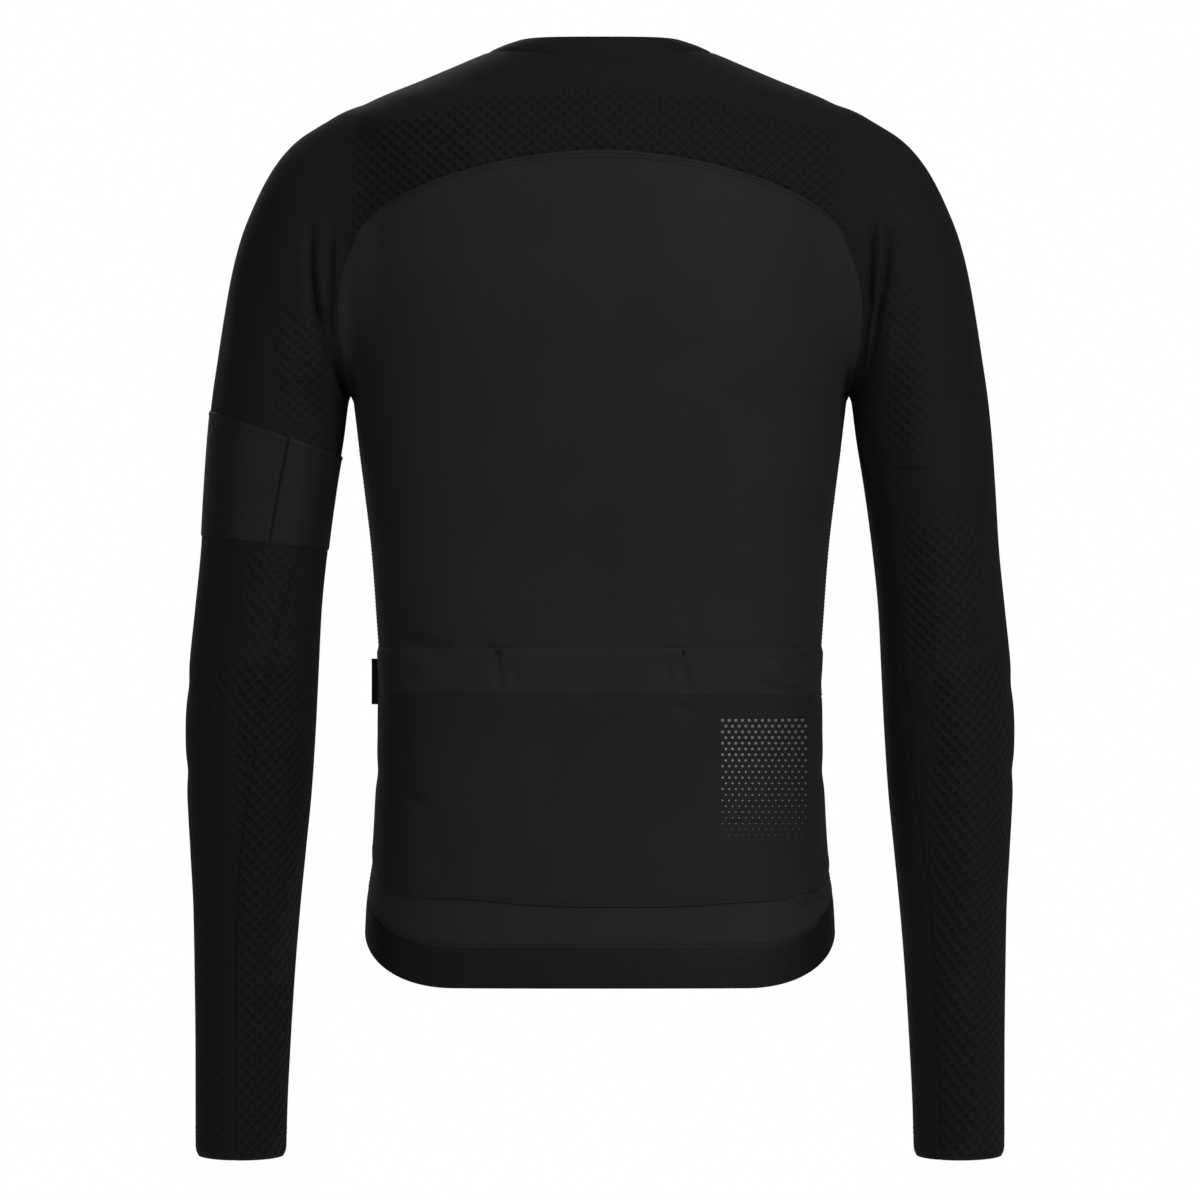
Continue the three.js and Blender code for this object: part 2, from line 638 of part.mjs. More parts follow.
// Slider and tab, each made flat in a frame that lies on the zip: X across, Y up the zip, Z out.
function slider(points, normals) {
  const at = points.length - 2;
  const n = new THREE.Vector3(...normals[at][0]);
  const across = new THREE.Vector3(1, 0, 0);
  const up = new THREE.Vector3().crossVectors(n, across);
  const frame = new THREE.Group();
  frame.matrixAutoUpdate = false;
  const place = new THREE.Vector3(...points[at]).addScaledVector(n, LAY_GAP);
  frame.matrix.makeBasis(across, up, n).setPosition(place);
  jersey.add(frame);
  const make = (name, solids) => {
    const mesh = addMesh(name, joined(solids), METAL);
    frame.add(mesh);
    return mesh;
  };
  const { wide, tall, thick, lug, lugTall, pin, standOff: lifted } = SLIDER;
  const lugX = PULL.between / 2 + PULL_PLAY + lug / 2;
  const lugHigh = lifted + pin / 2;
  const lugs = [-lugX, lugX].map((x) => boxAt(lug, lugTall, lugHigh, x, 0, lugHigh / 2));
  const bar = new THREE.CylinderGeometry(pin / 2, pin / 2, 2 * lugX, PIN_SIDES);
  bar.rotateZ(Math.PI / 2).translate(0, 0, lifted);
  make('zip_slider', [roundPlate(wide, tall, thick, 0, 0), ...lugs, bar]);
  const { wide: w, long, thick: t, neck, eye, ring, between } = PULL;
  const outline = new THREE.Shape();
  outline.absarc(0, 0, eye / 2 + ring, 0, 2 * Math.PI);
  const hole = new THREE.Path();
  hole.absarc(0, 0, eye / 2, 0, 2 * Math.PI, true);
  outline.holes.push(hole);
  const loop = new THREE.ExtrudeGeometry(outline, { depth: between, bevelEnabled: false, curveSegments: 12 });
  loop.translate(0, 0, -between / 2).rotateY(Math.PI / 2).translate(0, 0, lifted);
  const reach = eye / 2 + ring / 2;
  const plate = roundPlate(w, long, t, lifted - t / 2, PULL_OVERLAP - reach - neck - long / 2);
  const stem = boxAt(between, neck, t, 0, -reach - neck / 2, lifted);
  make('zip_pull', [loop, stem, plate]);
}

function boxAt(width, height, depth, x, y, z) {
  return new THREE.BoxGeometry(width, height, depth).translate(x, y, z);
}

// A flat plate with round corners, its underside at a height.
function roundPlate(width, height, thick, low, centre) {
  const r = width / 3;
  const shape = new THREE.Shape();
  const [w, h] = [width / 2, height / 2];
  shape.moveTo(-w + r, -h);
  shape.lineTo(w - r, -h).absarc(w - r, -h + r, r, -Math.PI / 2, 0);
  shape.lineTo(w, h - r).absarc(w - r, h - r, r, 0, Math.PI / 2);
  shape.lineTo(-w + r, h).absarc(-w + r, h - r, r, Math.PI / 2, Math.PI);
  shape.lineTo(-w, -h + r).absarc(-w + r, -h + r, r, Math.PI, 1.5 * Math.PI);
  const plate = new THREE.ExtrudeGeometry(shape, { depth: thick, bevelEnabled: false, curveSegments: 4 });
  return plate.translate(0, centre, low);
}

// Several closed geometries joined into one body.
function joined(geometries) {
  const solids = geometries.map((geometry) => {
    const bare = new THREE.BufferGeometry();
    bare.setAttribute('position', geometry.getAttribute('position'));
    if (geometry.index) bare.setIndex(geometry.index);
    const merged = mergeVertices(bare, WELD);
    return new wasm.Manifold(new wasm.Mesh({
      numProp: 3,
      vertProperties: Float32Array.from(merged.getAttribute('position').array),
      triVerts: Uint32Array.from(merged.index.array),
    }));
  });
  const { vertProperties, triVerts } = solids.reduce((a, b) => a.add(b)).getMesh();
  const geometry = new THREE.BufferGeometry();
  geometry.setAttribute('position', new THREE.BufferAttribute(vertProperties, 3));
  geometry.setIndex(new THREE.BufferAttribute(triVerts, 1));
  return geometry;
}

// A folded label that stands out of the left side seam.
function label() {
  const face = (y) => HALVES.map((t) => {
    const z = mix(LABEL.low, LABEL.high, t);
    const x = BODY.side(z) + 2 * LAY_GAP + BAND_THICK;
    return [[x, y, z], [x + LABEL.out, y, z]];
  });
  wall('side_label', face(LABEL.thick / 2), face(-LABEL.thick / 2), BLACK);
}

build();

export default jersey;
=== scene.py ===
# %% [markdown]
# # A cycling jersey, filled out as it is worn
# The jersey is thin stretchy cloth, so its shape is the shape of the trunk and arms that it
# was cut for. This lesson builds that shape once, as a smooth field, and then cuts every
# panel out of it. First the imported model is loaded, because each panel rides on one of its
# bodies and stays inside its box.

# %% Load the frame
import math

import bpy
import numpy as np
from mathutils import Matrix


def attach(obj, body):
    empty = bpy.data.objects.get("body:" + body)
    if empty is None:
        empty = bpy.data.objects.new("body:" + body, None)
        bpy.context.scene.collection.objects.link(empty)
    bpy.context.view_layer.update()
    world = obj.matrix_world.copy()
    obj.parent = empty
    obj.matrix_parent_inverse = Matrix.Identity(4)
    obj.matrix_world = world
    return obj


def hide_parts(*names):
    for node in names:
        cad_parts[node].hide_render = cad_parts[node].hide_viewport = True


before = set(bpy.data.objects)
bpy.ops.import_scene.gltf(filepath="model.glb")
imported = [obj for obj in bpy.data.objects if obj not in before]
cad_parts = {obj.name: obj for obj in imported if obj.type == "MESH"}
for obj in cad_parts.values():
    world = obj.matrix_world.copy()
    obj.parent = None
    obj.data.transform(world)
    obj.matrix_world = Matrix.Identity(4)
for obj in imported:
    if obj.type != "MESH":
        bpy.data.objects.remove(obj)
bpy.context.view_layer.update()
MM = 0.001
print("nodes", sorted(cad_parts))

# %% [markdown]
# The camera looks at the middle of the back, level, from far enough for the picture to be
# almost flat. One pixel of a 1200 pixel picture is then 0.7 mm on the jersey.

# %% Camera
PICTURE = 840 * MM
CAMERA_AWAY = 20.0
CAMERA_HIGH = -378 * MM
SENSOR = 36.0

camera_data = bpy.data.cameras.new("camera")
camera_data.sensor_width = SENSOR
camera_data.lens = SENSOR * CAMERA_AWAY / PICTURE
camera = bpy.data.objects.new("camera", camera_data)
camera.location = (0.0, CAMERA_AWAY, CAMERA_HIGH)
camera.rotation_euler = (math.radians(90), 0, math.radians(180))
bpy.context.scene.collection.objects.link(camera)
bpy.context.scene.camera = camera
print("lens", round(camera_data.lens, 1))

# %% [markdown]
# ## The form
# A body section is a rounded oval whose width and depth change with height. A table gives
# the sizes at some heights, and a cubic that never overshoots joins them. The arm is a second
# stack of ovals, which widens into the shoulder above the armpit.

# %% Section tables in millimetres
BODY = ("z side back front", [
    (30, 52, 45, 22), (15, 64, 54, 34), (8, 73, 58, 41), (0, 91, 63, 48), (-14, 124, 72, 58),
    (-28, 157, 81, 67), (-42, 176, 88, 74.5), (-56, 182, 94.5, 81), (-70, 183, 100, 88),
    (-98, 183, 109, 98), (-126, 182, 114, 106), (-154, 180.5, 116.5, 112),
    (-182, 178.5, 116.5, 116), (-210, 176, 114.5, 118), (-237, 172.8, 111.5, 118),
    (-266, 169.4, 108, 116), (-301, 164.9, 103.5, 112.5), (-343, 160, 97.5, 108),
    (-385, 156.8, 92.5, 104), (-427, 154.5, 89.5, 101.5), (-469, 154.6, 90, 100.5),
    (-511, 156, 94, 101), (-553, 158.3, 100.5, 102.5), (-595, 163.8, 107, 105),
    (-637, 165.4, 111, 107.5), (-665, 166, 112, 108)])
ARM = ("z outer inner depth middle", [
    (-20, 125, 112, 3, 1), (-28, 150, 95, 12, 1), (-42, 187, 80, 25, 2),
    (-56, 210.9, 88, 35, 2), (-70, 224.2, 103, 42.5, 3), (-84, 233.3, 116, 47.5, 3),
    (-98, 240.3, 127, 50.5, 4), (-126, 251.5, 141, 54, 4), (-154, 258.5, 151, 56, 5),
    (-182, 263.4, 160, 57, 5), (-210, 267.6, 168, 56.5, 6), (-237, 271.5, 175.3, 55.5, 6),
    (-266, 274.4, 179.2, 54, 7), (-301, 276.8, 184.8, 52.5, 8), (-343, 279.3, 190.4, 50.5, 8),
    (-385, 283.5, 194.6, 49, 8), (-427, 287.7, 196.7, 48.5, 7), (-469, 290.1, 198.8, 48, 4),
    (-511, 289.1, 201.6, 47, -1), (-553, 287, 205.8, 44.5, -8), (-595, 284.9, 210, 41.5, -15),
    (-637, 284.2, 213.5, 38.5, -22), (-692, 283.7, 217, 35, -30), (-734, 283.7, 219.1, 32.5, -36),
    (-775, 283.7, 220.2, 31, -42)])
TABLE_STEP = 0.5


def monotone(x, y, at):
    """A cubic through the points whose slope at each is the weighted harmonic mean of the
    slopes beside it, or nought at a peak, so that it never overshoots."""
    step = np.diff(x)
    slope = np.diff(y) / step
    w0, w1 = 2 * step[1:] + step[:-1], step[1:] + 2 * step[:-1]
    same = slope[:-1] * slope[1:] > 0
    safe = np.where(same[None], (slope[:-1], slope[1:]), 1.0)
    inner = np.where(same, (w0 + w1) / (w0 / safe[0] + w1 / safe[1]), 0.0)
    tangent = np.concatenate([slope[:1], inner, slope[-1:]])
    at = np.clip(at, x[0], x[-1])
    i = np.clip(np.searchsorted(x, at, "right") - 1, 0, len(x) - 2)
    t = (at - x[i]) / step[i]
    u = 1 - t
    ends = y[i] * (1 + 2 * t) * u**2 + y[i + 1] * t**2 * (3 - 2 * t)
    return ends + step[i] * t * u * (u * tangent[i] - t * tangent[i + 1])


def columns(table):
    """One function of height for each named column of a table."""
    names, rows = table
    values = np.array(sorted(rows), float).T
    fine = np.arange(values[0][0], values[0][-1] + TABLE_STEP, TABLE_STEP)
    names = names.split()[1:]
    curves = {name: monotone(values[0], column, fine) for name, column in zip(names, values[1:])}
    return {name: lambda z, c=curve: np.interp(z, fine, c) for name, curve in curves.items()}


body, arm = columns(BODY), columns(ARM)
print("waist width", round(2 * float(body["side"](-440)), 1))

# %% [markdown]
# The field says about how far a point is outside the cloth. Body and arm are joined by a
# smooth minimum: where both are equally near, a fillet fills the corner between them. It is
# small at the crotch of the armpit and wide on the back and chest.

# %% The field
ROUNDNESS = 2.3
BODY_FIELD, ARM_FIELD = 120.0, 50.0
CROTCH_FILLET, BACK_FILLET, FILLET_AWAY = 4.0, 26.0, (12, 60)
ARM_TOP = -20.0
SPINE_Y = 4.0
ARMPIT_FROM = (174.0, SPINE_Y, -200.0)


def smooth(low, high, value):
    """Nought below low, one above high, and 3t^2 - 2t^3 between them."""
    t = np.clip((value - low) / (high - low), 0, 1)
    return t * t * (3 - 2 * t)


def bell(value, half, middle=0.0):
    """One at the middle, falling off both ways: e to minus the square of the distance over
    the half width."""
    return np.exp(-((value - middle) / half) ** 2)


def field(p):
    """The smaller of the two section measures, less the fillet's share where they are close."""
    x, y, z = np.abs(p[..., 0]), p[..., 1], p[..., 2]
    depth = np.where(y > 0, body["back"](z), body["front"](z))
    ratio = (x / body["side"](z)) ** ROUNDNESS + (np.abs(y) / depth) ** ROUNDNESS
    trunk = (ratio ** (1 / ROUNDNESS) - 1) * BODY_FIELD
    outer, inner = arm["outer"](z), arm["inner"](z)
    across = (x - (outer + inner) / 2) / ((outer - inner) / 2)
    deep = (y - arm["middle"](z)) / arm["depth"](z)
    limb = np.maximum((np.hypot(across, deep) - 1) * ARM_FIELD, z - ARM_TOP)
    fillet = CROTCH_FILLET + (BACK_FILLET - CROTCH_FILLET) * smooth(*FILLET_AWAY, np.abs(y - SPINE_Y))
    near = np.maximum(fillet - np.abs(trunk - limb), 0) / fillet
    return np.minimum(trunk, limb) - near**2 * fillet / 4


def normals(p, h=0.5):
    """The field's slope along each axis, made one long: the way out of the cloth."""
    steps = np.eye(3) * h
    slope = np.stack([field(p + s) - field(p - s) for s in steps], axis=-1)
    return slope / np.linalg.norm(slope, axis=-1, keepdims=True)


def meet(start, along, reach=420.0, step=3.0):
    """Where rays from inside first leave the cloth: steps out, then halves the last step."""
    start, along = np.broadcast_arrays(np.asarray(start, float), np.asarray(along, float))
    along = along / np.linalg.norm(along, axis=-1, keepdims=True)
    high = np.full(start.shape[:-1], step)
    inside = np.ones(high.shape, bool)
    while inside.any() and high.max() < reach:
        inside = inside & (field(start + along * high[..., None]) < 0)
        high = np.where(inside, high + step, high)
    low = high - step
    for _ in range(18):
        middle = (low + high) / 2
        within = field(start + along * middle[..., None]) < 0
        low, high = np.where(within, middle, low), np.where(within, high, middle)
    return start + along * high[..., None]


apex = meet(ARMPIT_FROM, [0, 0, -1.0])
print("armpit", np.round(apex, 1))

# %% [markdown]
# ## The seams
# The dark yoke and sleeves meet the back panel along one round seam, drawn as two curves from
# the armpit to the centre back. In front a raglan seam runs from the armpit to the neck. Each
# seam is drawn flat and then carried straight back or forward onto the form.

# %% Seam curves
ARC_TURN = (163, -113)
ARC_LOWER = ((174, -237), (180, -200), (196, -150), ARC_TURN)
ARC_UPPER = (ARC_TURN, (139, -86), (60, -64.4), (0, -64.4))
RAGLAN = ((174, -237), (176, -170), (118, -92))
NECK = {"side": 79, "back": 64, "front": 77}
NECK_FROM = -62.0
COLLAR = {"side": 64, "back": 55, "front": 68}
COLLAR_TOP, COLLAR_DIP, COLLAR_DIP_POWER = 15.4, 50.4, 2.4
RAGLAN_AT_NECK = 122.0
ZIP_HALF = 6.5
FINE = {"arc_low": 56, "arc_high": 80, "neck": 76, "yoke": 32, "neck_front": 24, "under": 12}


def bezier(corners, steps):
    """The cubic curve of four corners, at even steps of its parameter."""
    t = np.linspace(0, 1, steps + 1)[:, None]
    u = 1 - t
    a, b, c, d = np.array(corners, float)
    return u**3 * a + 3 * u**2 * t * b + 3 * u * t**2 * c + t**3 * d


def seen_at(x, z, side):
    """Points of the form seen at (x, z) from the back, side 1, or from the front, side -1."""
    x, z = np.broadcast_arrays(np.asarray(x, float), np.asarray(z, float))
    start = np.stack([x, np.full(x.shape, SPINE_Y), z], axis=-1)
    return meet(start, [0, float(side), 0], 220)


def ring(sizes, turn):
    """x and y on an oval at a turn in degrees from the back."""
    a = np.radians(turn)
    depth = np.where(np.cos(a) > 0, sizes["back"], sizes["front"])
    return sizes["side"] * np.sin(a), depth * np.cos(a)


def neck_seam(turn):
    """The collar seam: an oval carried straight up onto the form."""
    x, y = ring(NECK, turn)
    return meet(np.stack([x, y, np.full(x.shape, NECK_FROM)], axis=-1), [0, 0, 1.0], 120)


def collar_edge(turn):
    """The collar's top edge: an oval that dips in front as a power of the turn."""
    x, y = ring(COLLAR, turn)
    dip = ((1 - np.cos(np.radians(turn))) / 2) ** COLLAR_DIP_POWER
    return np.stack([x, y, COLLAR_TOP - COLLAR_DIP * dip], axis=-1)


lower = bezier(ARC_LOWER, FINE["arc_low"])[1:]
upper = bezier(ARC_UPPER, FINE["arc_high"])[1:]
arc = np.vstack([apex[None], seen_at(*lower.T, 1), seen_at(*upper.T, 1)])
raglan_top = neck_seam(np.array([RAGLAN_AT_NECK]))[0]
raglan_flat = bezier((*RAGLAN, raglan_top[[0, 2]]), len(arc) - 1)
raglan = np.vstack([apex[None], seen_at(*raglan_flat[1:-1].T, -1), raglan_top[None]])
print("arc seam points", len(arc), "raglan", len(raglan))

# %% [markdown]
# ## Grids of cloth
# Every panel is a grid between four edges. The inside is blended from the edges and then
# carried out to the form along rays, so each panel lies exactly on the same body.

# %% Panel grids
HEM_BACK, HEM_RISE, HEM_TURN = -648.6, 80.0, (35.0, 145.0)
GRIPPER, POCKET_LIFT = 28.5, 28.0
POCKET_TOP, POCKET_BAND = -411.0, 35.0
SIDE_TOP, BODY_ROWS = -270.0, 124
ZIP_TURN = 177.5
AXIS_FADE, AXIS_SHARE = (-300, -215), 0.97


def mix(a, b, t):
    """From a at t nought to b at t one."""
    return a + (b - a) * t


def hem(turn):
    """Hem height: lowest at the back, rising smoothly round the side to the front."""
    return HEM_BACK + HEM_RISE * smooth(*HEM_TURN, np.abs(turn))


def body_point(turn, z):
    """The body's section at a height, at an oval's angle from the back in degrees."""
    a = np.radians(turn)
    s, c = np.sin(a), np.cos(a)
    power = 2 / ROUNDNESS
    depth = np.where(c > 0, body["back"](z), body["front"](z))
    x = body["side"](z) * np.sign(s) * np.abs(s) ** power
    return np.stack([x, depth * np.sign(c) * np.abs(c) ** power, z + 0 * x], axis=-1)


def fill(bottom, top, left, right):
    """Between four edges: along plus up, less what the corners count twice."""
    v = np.linspace(0, 1, len(left))[:, None, None]
    u = np.linspace(0, 1, len(bottom))[None, :, None]
    along = mix(bottom[None], top[None], v)
    up = mix(left[:, None], right[:, None], u)
    corners = mix(mix(bottom[0], bottom[-1], u), mix(top[0], top[-1], u), v)
    return along + up - corners


def relaxed(grid, times=80):
    """Each inner point moves to the middle of its four neighbours, again and again, so that
    no row is crowded where an edge turns."""
    for _ in range(times):
        grid[1:-1, 1:-1] = (grid[:-2, 1:-1] + grid[2:, 1:-1] + grid[1:-1, :-2] + grid[1:-1, 2:]) / 4
    return grid


def keep_edges(grid, bottom, top, left, right):
    """Puts the four edges back exactly after the inside was moved."""
    grid[:, 0], grid[:, -1], grid[0], grid[-1] = left, right, bottom, top
    return grid


def from_axis(guess):
    """Carries points out: from the body's axis low down, straight back or forward higher up."""
    share = (AXIS_SHARE * smooth(*AXIS_FADE, guess[..., 2]))[..., None]
    flat = guess * [1, 0, 0]
    start = flat * share + guess * [0, 0, 1]
    return meet(start, flat * (1 - share) + guess * [0, 1, 0])


def flip(points):
    """The same points on the other side of the body."""
    return points * [-1, 1, 1]


def under_arm(corner):
    """The side seam from the lower grid's corner up to the armpit."""
    guess = mix(corner[None], apex[None], np.linspace(0, 1, FINE["under"] + 1)[:, None])
    found = meet(guess * [0, 0, 1], guess * [1, 1, 0])
    found[0], found[-1] = corner, apex
    return found


def side_rows(turns, steps):
    """Rows of the body from the gripper to just under the armpit."""
    low = hem(turns) + GRIPPER
    shares = np.linspace(0, 1, steps + 1)[:, None]
    z = mix(low[None], SIDE_TOP, shares)
    return body_point(np.broadcast_to(turns, z.shape), z)


def back_grid(rows=BODY_ROWS):
    """The back panel, hem to arc seam, right to left."""
    half = arc[FINE["arc_low"]:]
    turns = np.linspace(-90, 90, 2 * FINE["arc_high"] + 1)
    low = side_rows(turns, rows)
    left = np.vstack([under_arm(low[-1, -1]), arc[1:FINE["arc_low"] + 1]])
    top = np.vstack([flip(half), half[:-1][::-1]])
    edges = (low[-1], top, flip(left), left)
    return np.vstack([low[:-1], keep_edges(from_axis(relaxed(fill(*edges))), *edges)])


def front_grid(rows=BODY_ROWS, low_share=0.56):
    """The wearer's left front, hem to neck, zip to side."""
    split = int(low_share * (len(raglan) - 1))
    neck = neck_seam(np.linspace(180 - math.degrees(math.asin(ZIP_HALF / NECK["side"])),
                                 RAGLAN_AT_NECK, FINE["neck_front"] + 1))
    top = np.vstack([neck, raglan[split:-1][::-1]])
    turns = np.linspace(ZIP_TURN, 90, len(top))
    low = side_rows(turns, rows)
    low[:, 0] = seen_at(ZIP_HALF, low[:, 0, 2], -1)
    side = np.vstack([under_arm(low[-1, -1]), raglan[1:split + 1]])
    zip_z = np.linspace(low[-1, 0, 2], neck[0, 2], len(side))
    zip_edge = seen_at(ZIP_HALF, zip_z, -1)
    zip_edge[-1] = neck[0]
    edges = (low[-1], top, zip_edge, side)
    return np.vstack([low[:-1], keep_edges(from_axis(relaxed(fill(*edges))), *edges)])


back, front = back_grid(), front_grid()
print("back grid", back.shape, "front grid", front.shape)

# %% [markdown]
# A sleeve is rings from the cuff to the armpit, and above that a cap that opens along the two
# seams and ends at the collar and the centre back. Its underarm seam turns slowly round the arm.

# %% Sleeve grids
CUFF, CUFF_TILT = -767.0, 4.0
UNDERARM_SEAMS = {
    "left": ("z turn", [(-775, -9), (-600, -12), (-500, 0), (-385, 25), (-301, 55), (-237, 90)]),
    "right": ("z turn", [(-775, 27), (-600, 28), (-500, 38), (-385, 47), (-301, 65), (-237, 90)])}
CAP_END = np.array([70.0, SPINE_Y, -70.0])
SLEEVE_RINGS, BESIDE_SEAM, ASTRAY = 176, 6, 3.0


def arm_point(turn, z):
    """The arm's oval at a height, at degrees from the back towards the body."""
    a = np.radians(turn)
    outer, inner = arm["outer"](z), arm["inner"](z)
    x = (outer + inner) / 2 - (outer - inner) / 2 * np.sin(a)
    return np.stack([x, arm["middle"](z) + arm["depth"](z) * np.cos(a), z], axis=-1)


def sleeve_grid(seam, rings=SLEEVE_RINGS):
    """One left sleeve and its half of the yoke, cuff to neck, front edge to back edge. Rays
    beside a seam may slip past into the body; those points are put on a line to the seam."""
    seam_turn = columns(seam)["turn"]
    around = FINE["neck"] + FINE["yoke"]
    u = np.linspace(0, 1, around + 1)[None]
    share = np.linspace(0, 1, rings + 1)[:-1, None]
    turn = seam_turn(mix(CUFF, apex[2], share)) + 360 * u
    cuff = CUFF - CUFF_TILT * np.cos(np.radians(turn))
    low = arm_point(turn, mix(cuff, apex[2], share))
    outer, inner, middle = (arm[name](apex[2]) for name in ("outer", "inner", "middle"))
    start = np.array([(outer + inner) / 2, middle, apex[2]])
    a = np.radians(90 + 360 * u[0])
    pit = meet(start, np.stack([-np.sin(a), np.cos(a), 0 * a], axis=-1), 110)
    pit[0] = pit[-1] = apex
    neck = neck_seam(np.linspace(RAGLAN_AT_NECK, 0, FINE["neck"] + 1))
    yoke = seen_at(0, np.linspace(neck[-1, 2], arc[-1, 2], FINE["yoke"] + 1), 1)
    top = np.vstack([neck, yoke[1:-1], arc[-1:]])
    edges = (pit, top, raglan, arc)
    guess = fill(*edges)
    centre = mix(start, CAP_END, np.linspace(0, 1, len(guess))[:, None])[:, None]
    cap = keep_edges(meet(centre, guess - centre, 320), *edges)
    for ends in ((0, BESIDE_SEAM), (-1, -1 - BESIDE_SEAM)):
        between = np.linspace(*ends, BESIDE_SEAM + 1).astype(int)
        line = mix(cap[:, ends[:1]], cap[:, ends[1:]], np.linspace(0, 1, BESIDE_SEAM + 1)[:, None])
        away = np.linalg.norm(cap[:, between] - line, axis=-1, keepdims=True)
        cap[:, between] = np.where(away > ASTRAY, line, cap[:, between])
    return np.vstack([low, cap])


sleeves = {side: sleeve_grid(seam) for side, seam in UNDERARM_SEAMS.items()}
sleeves["right"] = flip(sleeves["right"])
print("sleeve grid", sleeves["left"].shape)
